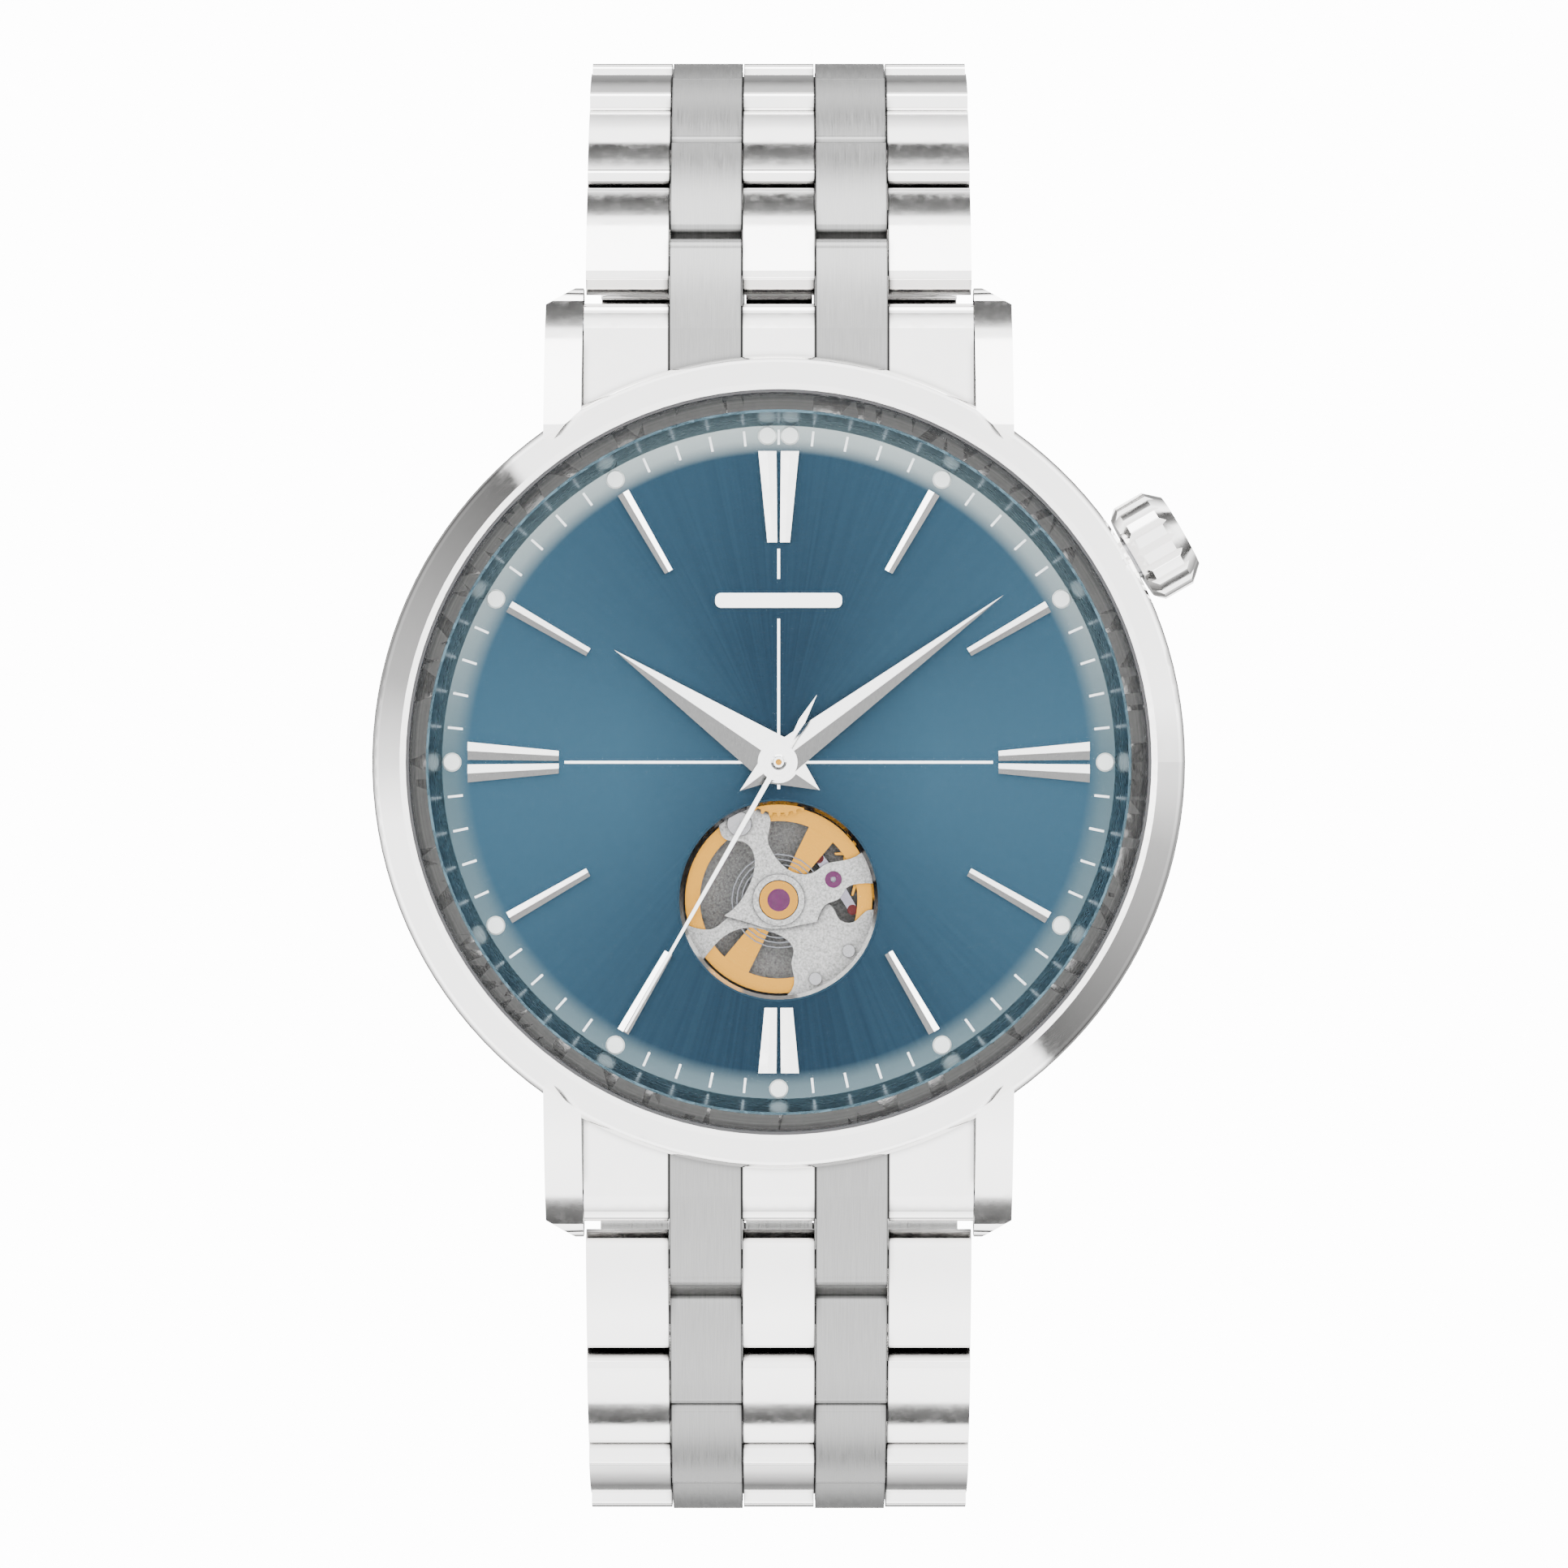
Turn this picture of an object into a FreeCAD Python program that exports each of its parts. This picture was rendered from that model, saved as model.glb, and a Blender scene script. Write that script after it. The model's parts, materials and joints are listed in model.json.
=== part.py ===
"""Open-heart automatic wristwatch on a closed link bracelet, as separate named pieces.

Every piece is drawn in the watch's own axes: x to 3 o'clock, y to 12 o'clock, z out of the dial,
with z = 0 on the outer face of the case back. STAND then turns the whole watch upright, so that
12 o'clock points up (+Z) and the dial faces -Y. The origin is the centre of the case-back face.
"""
import FreeCAD, Part
import Sketcher
import math
import operator
import os

from FreeCAD import Placement, Rotation, Vector

os.makedirs("parts", exist_ok=True)
doc = FreeCAD.newDocument("open_heart_watch")
STAND = Placement(Vector(0, 0, 0), Rotation(Vector(1, 0, 0), 90))

DIMENSIONS = {
    # case and glass
    "case_radius": 20.5, "case_floor": 0.35, "case_bore": 17.75, "glass_seat": 18.7,
    "bezel_top": 11.0, "bezel_foot": 8.3, "seat_height": 9.3, "crystal_radius": 18.55,
    "crystal_apex": 12.3, "crystal_ceiling": 10.5, "crystal_edge_top": 11.05,
    "crystal_bevel": 0.35, "crystal_inside": 17.3, "gap": 0.03,
    "lug_inside": 9.95, "lug_width": 1.9, "lug_reach": 24.2, "bar_reach": 22.2, "bar_height": 3.3,
    # case back
    "back_radius": 18.65, "back_height": 1.9, "back_glass": 12.55, "back_lip": 11.9, "back_flange": 0.95,
    # dial and hands
    "dial_radius": 17.7, "dial_floor": 7.1, "dial_top": 7.5, "window_radius": 5.12, "window_y": -6.97,
    "marker_inner": 11.1, "marker_outer": 15.7, "marker_height": 0.45, "dot_ring": 16.5,
    "hour_tip": 10.03, "hour_level": 8.0, "minute_tip": 14.1, "minute_level": 8.45,
    "second_tip": 15.6, "second_level": 8.92,
    # movement
    "plate_radius": 12.9, "plate_top": 6.3, "plate_floor": 4.3, "recess_floor": 4.7,
    "train_bridge_floor": 2.75, "train_bridge_top": 3.25, "balance_radius": 4.75, "balance_level": 5.25,
    "motion_distance": 3.44, "stem_angle": 30.0, "stem_height": 4.9,
    "crown_radius": 2.65, "crown_length": 2.8, "crown_base": 20.75, "flutes": 18,
    "rotor_radius": 12.3, "rotor_floor": 2.0,
    # bracelet and clasp
    "pitch": 6.6, "link_thick": 2.6, "link_crown": 0.3, "link_gap": 0.1, "column_gap": 0.07,
    "centre_half": 1.83, "brushed_half": 5.53, "band_half": 9.8, "pin_radius": 0.5, "first_y": 25.3, "first_z": 3.4,
    "clasp_bow": 17.0, "button_length": 4.4, "button_travel": 0.6,
}
UPPER_HEADINGS = [41, 54, 76, 93, 108, 124, 141, 158]
LOWER_HEADINGS = [27, 46, 71, 91, 110, 129, 149]

sheet = doc.addObject("Spreadsheet::Sheet", "Sizes")
for row, (alias, number) in enumerate(DIMENSIONS.items(), start=1):
    sheet.set(f"A{row}", alias)
    sheet.set(f"B{row}", str(number))
    sheet.setAlias(f"B{row}", alias)
doc.recompute()


# ---------------------------------------------------------------- sizes bound to the sheet
class Size:
    """A number that remembers the sheet formula it comes from."""

    def __init__(self, value, formula):
        self.value, self.formula = float(value), formula

    def __add__(self, other):
        return join(self, "+", other)

    def __radd__(self, other):
        return join(other, "+", self)

    def __sub__(self, other):
        return join(self, "-", other)

    def __rsub__(self, other):
        return join(other, "-", self)

    def __mul__(self, other):
        return join(self, "*", other)

    def __rmul__(self, other):
        return join(other, "*", self)

    def __truediv__(self, other):
        return join(self, "/", other)

    def __neg__(self):
        return Size(-self.value, f"(-1 * {self.formula})")

    def __float__(self):
        return self.value


OPERATIONS = {"+": operator.add, "-": operator.sub, "*": operator.mul, "/": operator.truediv}


def as_size(number):
    return number if isinstance(number, Size) else Size(number, f"({float(number):.9f})")


def join(left, sign, right):
    left, right = as_size(left), as_size(right)
    value = OPERATIONS[sign](left.value, right.value)
    return Size(value, f"({left.formula} {sign} {right.formula})")


class Sheet:
    """Reads a cell by its alias: S.case_radius."""

    def __getattr__(self, alias):
        return Size(DIMENSIONS[alias], f"Sizes.{alias}")


S = Sheet()


def bind(thing, prop, size):
    """Sets a property from a size, with its formula where it has one."""
    thing.setExpression(prop, as_size(size).formula)


# ---------------------------------------------------------------- sketch and feature helpers
NODES = []


def keep(thing, label, placement):
    """Names a finished piece, stands it in its place and lists it for export."""
    thing.Label = label
    thing.Placement = placement
    NODES.append(thing)
    return thing


def make_body(label, placement=STAND):
    body = doc.addObject("PartDesign::Body", label)
    body.AllowCompound = True
    return keep(body, label, placement)


def sketch_on(body, plane, shift=0):
    sketch = body.newObject("Sketcher::SketchObject", "Sketch")
    support = next(item for item in body.Origin.OriginFeatures if item.Role == plane)
    sketch.AttachmentSupport = (support, [""])
    sketch.MapMode = "FlatFace"
    bind(sketch, "AttachmentOffset.Base.z", shift)
    return sketch


def pin_point(sketch, edge, end, x, y):
    """Fixes a sketch point at (x, y), bound to the sheet."""
    for kind, size, axis in (("DistanceX", x, -2), ("DistanceY", y, -1)):
        size = as_size(size)
        if abs(size.value) < 1e-9:
            sketch.addConstraint(Sketcher.Constraint("PointOnObject", edge, end, axis))
        else:
            ends = (-1, 1, edge, end) if size.value > 0 else (edge, end, -1, 1)
            constrain(sketch, size if size.value > 0 else -size, kind, *ends)


def constrain(sketch, size, kind, *points):
    """Adds a dimension whose value follows the sheet."""
    index = sketch.addConstraint(Sketcher.Constraint(kind, *points, size.value))
    if "Sizes" in size.formula:
        sketch.setExpression(f"Constraints[{index}]", size.formula)


def arc_between(start, end, radius, side):
    """The shorter arc from start to end; side is +1 when its centre lies left of the way there."""
    middle = (start + end) * 0.5
    chord = end - start
    normal = Vector(-chord.y, chord.x, 0).normalize() * side
    depth = math.sqrt(max(radius ** 2 - (chord.Length / 2) ** 2, 0))
    centre = middle + normal * depth
    through = centre - normal * radius
    return Part.Arc(start, through, end)


def outline(sketch, corners):
    """Draws a closed outline. A corner is (x, y), or (x, y, radius, side) where an arc leads to it."""
    points = [Vector(float(as_size(c[0])), float(as_size(c[1])), 0) for c in corners]
    first = sketch.GeometryCount
    count = len(corners)
    for i in range(count):
        start, end, corner = points[i], points[(i + 1) % count], corners[(i + 1) % count]
        if len(corner) == 4:
            sketch.addGeometry(arc_between(start, end, float(as_size(corner[2])), corner[3]), False)
        else:
            sketch.addGeometry(Part.LineSegment(start, end), False)
    for i in range(count):
        corner = corners[(i + 1) % count]
        turned = len(corner) == 4 and corner[3] < 0
        following = corners[(i + 2) % count]
        next_turned = len(following) == 4 and following[3] < 0
        end = 1 if turned else 2
        start = 2 if next_turned else 1
        sketch.addConstraint(Sketcher.Constraint("Coincident", first + i, end, first + (i + 1) % count, start))
        if len(corner) == 4:
            radius = as_size(corner[2])
            constrain(sketch, radius, "Radius", first + i)
        pin_point(sketch, first + i, end, corner[0], corner[1])


def circle(sketch, x, y, radius):
    radius = as_size(radius)
    place = Vector(float(as_size(x)), float(as_size(y)), 0)
    edge = sketch.addGeometry(Part.Circle(place, Vector(0, 0, 1), radius.value), False)
    constrain(sketch, radius, "Radius", edge)
    pin_point(sketch, edge, 3, x, y)


def revolve(body, corners, cut=False, plane="XZ_Plane"):
    """Turns an outline of (radius, height) corners round the plane's upright axis."""
    sketch = sketch_on(body, plane)
    outline(sketch, corners)
    feature = body.newObject("PartDesign::Groove" if cut else "PartDesign::Revolution", "Turned")
    feature.Profile = (sketch, [""])
    feature.ReferenceAxis = (sketch, ["V_Axis"])
    feature.Angle = 360
    return feature


def extrude(body, length, outlines=(), circles=(), plane="XY_Plane", base=0, middle=False, cut=False):
    """Pads (or pockets) outlines and circles; middle spreads the length to both sides of the sketch."""
    sketch = sketch_on(body, plane, base)
    for corners in outlines:
        outline(sketch, corners)
    for x, y, radius in circles:
        circle(sketch, x, y, radius)
    feature = body.newObject("PartDesign::Pocket" if cut else "PartDesign::Pad", "Shaped")
    feature.Profile = (sketch, [""])
    if middle:
        feature.SideType = "Symmetric"
    elif cut:
        feature.Reversed = True
    bind(feature, "Length", length)
    return feature


def repeat(body, feature, count):
    """Repeats a feature round the z axis and makes the pattern the body's tip."""
    pattern = body.newObject("PartDesign::PolarPattern", "Repeat")
    pattern.Originals = [feature]
    axis = next(item for item in body.Origin.OriginFeatures if item.Role == "Z_Axis")
    pattern.Axis = (axis, [""])
    pattern.Angle = 360
    pattern.Occurrences = count
    body.Tip = pattern
    return pattern


def cylinder(radius, length, x=0, y=0, z=0, rotation=None, name="Rod"):
    rod = doc.addObject("Part::Cylinder", name)
    bind(rod, "Radius", radius)
    bind(rod, "Height", length)
    place(rod, x, y, z, rotation)
    return rod


def place(thing, x, y, z, rotation=None):
    if rotation:
        thing.Placement = Placement(Vector(0, 0, 0), rotation)
    for letter, size in zip("xyz", (x, y, z)):
        bind(thing, f"Placement.Base.{letter}", size)


def fuse(label, shapes, placement=STAND):
    return combine("Part::MultiFuse", "Shapes", label, shapes, placement)


def group(label, shapes, placement=STAND):
    return combine("Part::Compound", "Links", label, shapes, placement)


def combine(kind, prop, label, shapes, placement):
    result = doc.addObject(kind, label)
    setattr(result, prop, shapes)
    return keep(result, label, placement) if placement else result


def ring(outer, inner, height, z=0):
    """A flat ring round the z axis, as a cylinder with a bore."""
    result = doc.addObject("Part::Cut", "Ring")
    result.Base = cylinder(outer, height, z=z)
    result.Tool = cylinder(inner, as_size(height) + 2, z=as_size(z) - 1)
    return result


def solid(label, shape, placement=STAND):
    """A piece whose outline only a formula can give."""
    feature = doc.addObject("Part::Feature", label)
    feature.Shape = shape
    return keep(feature, label, placement * shape.Placement)


def polar(radius, degrees, z=0.0):
    angle = math.radians(degrees)
    return Vector(radius * math.cos(angle), radius * math.sin(angle), z)


def clock(hours):
    """The direction of an hour, in degrees from 3 o'clock, anticlockwise."""
    return 90.0 - 30.0 * hours


# ---------------------------------------------------------------- case
def make_case():
    body = make_body("case_middle")
    radius, bore = S.case_radius, S.case_bore
    revolve(body, [
        (bore, S.back_flange), (S.back_radius + S.gap, S.back_flange), (S.back_radius + S.gap, S.case_floor),
        (radius - 1.2, S.case_floor), (radius, S.case_floor + 1.3), (radius, S.bezel_foot),
        (radius - 0.35, S.bezel_foot + 0.75, 1.6, 1), (S.glass_seat + 0.3, S.bezel_top - 0.05),
        (S.glass_seat, S.bezel_top - 0.15), (S.glass_seat, S.seat_height), (bore, S.seat_height)])
    for side in (1, -1):
        lug = [(side * 15.0, 1.2), (side * 22.2, 0.55), (side * (S.lug_reach - 0.5), 0.75),
               (side * S.lug_reach, 1.4, 0.7, side), (side * S.lug_reach, 2.9),
               (side * (S.lug_reach - 0.7), 4.1, 1.3, side), (side * 17.0, 9.1, 17.0, side), (side * 15.0, 9.1)]
        for start in (S.lug_inside, -S.lug_inside - S.lug_width):
            extrude(body, S.lug_width, [lug], plane="YZ_Plane", base=start)
    # each lug tip is cut at a slant, and its outer top edge is bevelled along its length
    outside, reach = S.lug_inside + S.lug_width, S.lug_reach
    corners = [[(sx * (outside + 0.5), sy * (reach - 1.2)), (sx * (outside + 0.5), sy * (reach + 0.6)),
                (sx * (S.lug_inside + 0.4), sy * (reach + 0.6)), (sx * (S.lug_inside + 0.4), sy * reach)]
               for sx in (1, -1) for sy in (1, -1)]
    extrude(body, 12, corners, base=-1, cut=True)
    revolve(body, [(0, -1), (bore, -1), (bore, S.seat_height), (S.glass_seat, S.seat_height),
                   (S.glass_seat, 14), (0, 14)], cut=True)
    revolve(body, [(bore - 1, -1), (S.back_radius + S.gap, -1), (S.back_radius + S.gap, S.back_flange),
                   (bore - 1, S.back_flange)], cut=True)
    gasket_floor = S.back_flange - 0.1
    revolve(body, [(18.0, gasket_floor), (18.5, gasket_floor), (18.5, 1.4), (18.0, 1.4)], cut=True)
    bars = [(side * S.bar_reach, S.bar_height, 0.45) for side in (1, -1)]
    extrude(body, 21.6, circles=bars, plane="YZ_Plane", middle=True, cut=True)
    drill_wall(body)


def drill_wall(case):
    """The crown tube's bore, through the wall towards 2 o'clock."""
    turn = Rotation(Vector(0, 1, 0), DIMENSIONS["stem_angle"])
    sketch = sketch_on(case, "YZ_Plane")
    circle(sketch, 0, S.stem_height, 1.1)
    sketch.setExpression("AttachmentOffset.Base.z", None)
    sketch.AttachmentOffset = Placement(turn.multVec(Vector(0, 0, 16.5)), turn)
    bore = case.newObject("PartDesign::Pocket", "CrownBore")
    bore.Profile = (sketch, [""])
    bore.Reversed = True
    bore.Length = 6


def make_crown_side():
    """Crown, stem, tube and setting lever, drawn along x and turned to 2 o'clock at the stem's height."""
    turn = Rotation(Vector(0, 0, 1), DIMENSIONS["stem_angle"]) * Rotation(Vector(0, 1, 0), 90)
    along = STAND * Placement(Vector(0, 0, DIMENSIONS["stem_height"]), turn)
    base, length, radius = S.crown_base, S.crown_length, S.crown_radius
    crown = make_body("crown", along)
    revolve(crown, [(1.25, base), (radius - 0.45, base), (radius, base + 0.45), (radius, base + length - 0.75),
                    (radius - 0.7, base + length), (radius - 0.95, base + length),
                    (radius - 1.05, base + length - 0.1), (0, base + length - 0.1), (0, base + 0.9),
                    (1.25, base + 0.9)])
    flute = extrude(crown, length, [[(radius + 0.4, 0.5), (radius - 0.28, 0), (radius + 0.4, -0.5)]],
                    base=base - 0.01, cut=True)
    repeat(crown, flute, DIMENSIONS["flutes"])
    tube = make_body("crown_tube", along)
    revolve(tube, [(0.66, 17.9), (1.1, 17.9), (1.1, base + 0.75), (0.66, base + 0.75)])
    stem = make_body("winding_stem", along)
    revolve(stem, [(0, 12.6), (0.3, 12.6), (0.3, 13.3), (0.55, 13.3), (0.55, 15.0), (0.35, 15.0), (0.35, 15.6),
                   (0.55, 15.6), (0.55, 20.2), (0.62, 20.2), (0.62, base + 0.9), (0, base + 0.9)])
    lever = make_body("setting_lever", along)
    extrude(lever, 0.5, [[(-1.2, -1.0), (2.2, -1.0), (2.2, 1.0), (-1.2, 1.0)]], [(0, 0, 0.42)], base=15.05)


def dome_radius(reach, rise):
    """Radius of the sphere whose cap spans reach from the axis and rises by rise."""
    return (reach * reach + rise * rise) / (2 * rise)


def make_glass():
    crystal = make_body("crystal")
    radius, seat = S.crystal_radius, S.seat_height
    inner_reach, edge_top = S.crystal_inside, S.crystal_edge_top
    outer_reach = radius - S.crystal_bevel
    inner = dome_radius(inner_reach, S.crystal_ceiling - seat)
    outer = dome_radius(outer_reach, S.crystal_apex - edge_top)
    revolve(crystal, [(0, S.crystal_ceiling), (inner_reach, seat, inner, -1), (radius, seat),
                      (radius, edge_top - 0.3), (outer_reach, edge_top), (0, S.crystal_apex, outer, 1)])
    rehaut = make_body("rehaut_ring")
    revolve(rehaut, [(17.0, S.dial_top), (S.case_bore, S.dial_top), (S.case_bore, seat), (17.62, seat)])
    group("gaskets", [
        ring(S.glass_seat, S.crystal_radius, 1.5, z=seat),
        ring(18.45, 18.05, 0.4, z=S.back_flange)])


def make_back():
    body = make_body("case_back")
    radius, bore = S.back_radius, S.case_bore
    revolve(body, [(S.back_glass, 0), (radius - 0.35, 0), (radius, 0.35), (radius, S.back_flange),
                   (bore, S.back_flange), (bore, S.back_height), (S.back_lip, S.back_height), (S.back_lip, 1.2),
                   (S.back_glass, 1.2)])
    notch = extrude(body, 0.45, [[(15.2, -0.9), (16.8, -0.9), (16.8, 0.9), (15.2, 0.9)]], cut=True)
    repeat(body, notch, 6)
    glass = make_body("case_back_glass")
    revolve(glass, [(0, 0), (S.back_glass, 0), (S.back_glass, 1.2), (0, 1.2)])
    holder = make_body("movement_holder")
    top, floor = S.dial_floor, S.back_height
    revolve(holder, [(S.plate_radius, floor), (bore, floor), (bore, top), (S.plate_radius, top)])
    along = polar(1, DIMENSIONS["stem_angle"])
    across = polar(1, DIMENSIONS["stem_angle"] + 90)
    near, far, half = DIMENSIONS["plate_radius"] - 2, DIMENSIONS["case_bore"] + 2, 1.3
    sketch = sketch_on(holder, "XY_Plane", 2.3)
    corners = [along * reach + across * side
               for reach, side in ((near, -half), (far, -half), (far, half), (near, half))]
    outline(sketch, [(corner.x, corner.y) for corner in corners])
    slot = holder.newObject("PartDesign::Pocket", "StemSlot")
    slot.Profile = (sketch, [""])
    slot.Reversed = True
    slot.Length = 6


# ---------------------------------------------------------------- dial and hands
def make_dial():
    dial = make_body("dial")
    window = (0, S.window_y, S.window_radius)
    extrude(dial, S.dial_top - S.dial_floor, circles=[(0, 0, S.dial_radius), window, (0, 0, 0.85)],
            base=S.dial_floor)
    frame = make_body("window_ring")
    centre, outer = S.window_y, S.window_radius
    sketch = sketch_on(frame, "YZ_Plane")
    outline(sketch, [(centre + outer, S.dial_floor), (centre + outer, S.dial_top + 0.12),
                     (centre + outer - 0.1, S.dial_top + 0.12), (centre + outer - 0.28, S.dial_floor)])
    edge = sketch.addGeometry(Part.LineSegment(Vector(float(centre), 0, 0), Vector(float(centre), 10, 0)), True)
    pin_point(sketch, edge, 1, centre, 0)
    pin_point(sketch, edge, 2, centre, 10)
    turned = frame.newObject("PartDesign::Revolution", "Bevel")
    turned.Profile = (sketch, [""])
    turned.ReferenceAxis = (sketch, ["Axis0"])
    turned.Angle = 360


def baton(inner, outer, narrow, wide, near, far, degrees):
    """One applied marker: a gabled bar that tapers inwards, its middle near the hour line, then far from it."""
    floor, height = DIMENSIONS["dial_top"], DIMENSIONS["marker_height"]
    eaves, pitch = floor + height * 0.72, height * 0.28 / wide

    def end(radius, width, middle):
        across = ((-0.5, floor), (-0.5, eaves), (0, eaves + pitch * width), (0.5, eaves), (0.5, floor))
        return [polar(radius, degrees, level) + polar(middle + side * width, degrees + 90)
                for side, level in across]
    first, last = end(inner, narrow, near), end(outer, wide, far)
    sides = [[first[i], last[i], last[(i + 1) % 5], first[(i + 1) % 5]] for i in range(5)]
    return closed_solid([first, last] + sides)


def closed_solid(faces):
    """A solid from its flat faces, each given by its corners."""
    made = [Part.Face(Part.makePolygon(corners + corners[:1])) for corners in faces]
    body = Part.Solid(Part.makeShell(made))
    if body.Volume < 0:
        body.reverse()
    return body


def make_markers():
    top, inner, outer = DIMENSIONS["dial_top"], DIMENSIONS["marker_inner"], DIMENSIONS["marker_outer"]
    bars = [baton(inner, outer, 0.44, 0.62, 0, 0, clock(hour)) for hour in (1, 2, 4, 5, 7, 8, 10, 11)]
    for hour, start, narrow, near in ((12, inner, 0.5, 0.32), (3, inner, 0.5, 0.32), (9, inner, 0.5, 0.32),
                                      (6, 12.4, 0.62, 0.4)):
        for side in (-1, 1):
            bars.append(baton(start, outer, narrow, 0.91, side * near, side * 0.57, clock(hour)))
    plate = Part.makeBox(6.4, 0.75, 0.18, Vector(-3.2, 7.8, top))
    plate = plate.makeFillet(0.3, [e for e in plate.Edges if abs(e.BoundBox.ZLength - 0.18) < 1e-6])
    solid("dial_markers", Part.makeCompound(bars + [plate]))
    dots = []
    for hour in range(1, 13):
        across = (-0.57, 0.57) if hour == 12 else (0,)
        for offset in across:
            foot = polar(DIMENSIONS["dot_ring"], clock(hour), top) + polar(offset, clock(hour) + 90)
            dots.append(Part.makeCone(0.48, 0.4, 0.16, foot))
    solid("lume_dots", Part.makeCompound(dots))


def kite(tip, tail, half_width, z, edge, crown, degrees, bore, hub, widest=0.0):
    """A dauphine hand: a four-sided blade with a raised ridge, on a hub with a bore."""
    side = polar(1, degrees + 90)
    ahead = polar(1, degrees)
    rim = [ahead * tip, ahead * widest + side * half_width, ahead * -tail, ahead * widest - side * half_width]
    low = [point + Vector(0, 0, z) for point in rim]
    high = [point + Vector(0, 0, z + edge) for point in rim]
    ridge = ahead * widest + Vector(0, 0, z + crown)
    faces = [low] + [[low[i], low[(i + 1) % 4], high[(i + 1) % 4], high[i]] for i in range(4)]
    faces += [[high[i], high[(i + 1) % 4], ridge] for i in range(4)]
    blade = closed_solid(faces)
    blade = blade.fuse(Part.makeCylinder(hub, crown, Vector(0, 0, z)))
    return blade.cut(Part.makeCylinder(bore, 4, Vector(0, 0, z - 2))).removeSplitter()


def make_hands():
    tip, level = DIMENSIONS["hour_tip"], DIMENSIONS["hour_level"]
    solid("hour_hand", kite(tip, 2.5, 1.26, level, 0.08, 0.3, 90 - 304.3, 0.78, 1.05))
    tip, level = DIMENSIONS["minute_tip"], DIMENSIONS["minute_level"]
    solid("minute_hand", kite(tip, 2.43, 0.9, level, 0.08, 0.3, 90 - 53.4, 0.46, 0.95))
    level, tip, heading = DIMENSIONS["second_level"], DIMENSIONS["second_tip"], 90 - 209.6
    ahead, side = polar(1, heading), polar(1, heading + 90)
    needle = [ahead * tip + side * 0.05, ahead * 0.4 + side * 0.13, ahead * -1.6 + side * 0.1,
              ahead * -2.4 + side * 0.175, ahead * -3.9, ahead * -2.4 - side * 0.175,
              ahead * -1.6 - side * 0.1, ahead * 0.4 - side * 0.13, ahead * tip - side * 0.05]
    blade = prism([point + Vector(0, 0, level) for point in needle], 0.14)
    hub = Part.makeCylinder(0.67, 0.2, Vector(0, 0, level))
    hub = hub.fuse(Part.makeCone(0.4, 0.26, 0.2, Vector(0, 0, level + 0.2)))
    bore = Part.makeCylinder(0.16, 3, Vector(0, 0, level - 1))
    solid("seconds_hand", blade.fuse(hub).cut(bore).removeSplitter())


def prism(points, height):
    return Part.Face(Part.makePolygon(points + points[:1])).extrude(Vector(0, 0, height))


# ---------------------------------------------------------------- movement
ESCAPE = Vector(4.75, -5.1, 0)
FORK = Vector(2.77, -5.93, 0)
THIRD = polar(6.4, 200)
BARREL = polar(5.4, 60)
MINUTE_WHEEL = polar(DIMENSIONS["motion_distance"], 40)
AXIS = Vector(0, 0, 0)
BALANCE = Vector(0, DIMENSIONS["window_y"], 0)


def toothed(radius, teeth, depth, thick, bore, spokes=0, rim=0.7):
    """A wheel with straight-sided teeth, its tip circle at radius, and openings between its spokes."""
    corners = []
    for tooth in range(teeth):
        step = 360.0 / teeth
        for part, reach in ((-0.28, radius - depth), (-0.12, radius), (0.12, radius), (0.28, radius - depth)):
            corners.append(polar(reach, (tooth + part) * step))
    wheel = prism(corners, thick)
    if bore:
        wheel = wheel.cut(Part.makeCylinder(bore, thick * 3, Vector(0, 0, -thick)))
    if spokes:
        hub = max(radius * 0.22, 0.55)
        wheel = wheel.cut(spoke_openings(radius - depth - rim, hub, spokes, thick, radius * 0.14))
    return wheel


def spoke_openings(outer, inner, spokes, thick, spoke_width):
    """The windows that leave a wheel its spokes."""
    ring_shape = Part.makeCylinder(outer, thick * 3, Vector(0, 0, -thick))
    ring_shape = ring_shape.cut(Part.makeCylinder(inner, thick * 3, Vector(0, 0, -thick)))
    for index in range(spokes):
        bar = Part.makeBox(outer + 1, spoke_width, thick * 4, Vector(0, -spoke_width / 2, -thick * 1.5))
        bar.rotate(Vector(0, 0, 0), Vector(0, 0, 1), 360.0 * index / spokes)
        ring_shape = ring_shape.cut(bar)
    return ring_shape


def moved(shape, centre, z):
    shape.translate(Vector(centre.x, centre.y, z))
    return shape


def rod(radius, bottom, top, centre=Vector(0, 0, 0)):
    return Part.makeCylinder(radius, top - bottom, Vector(centre.x, centre.y, bottom))


def tube(outer, inner, bottom, top, centre=Vector(0, 0, 0)):
    return rod(outer, bottom, top, centre).cut(rod(inner, bottom - 1, top + 1, centre))


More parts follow.
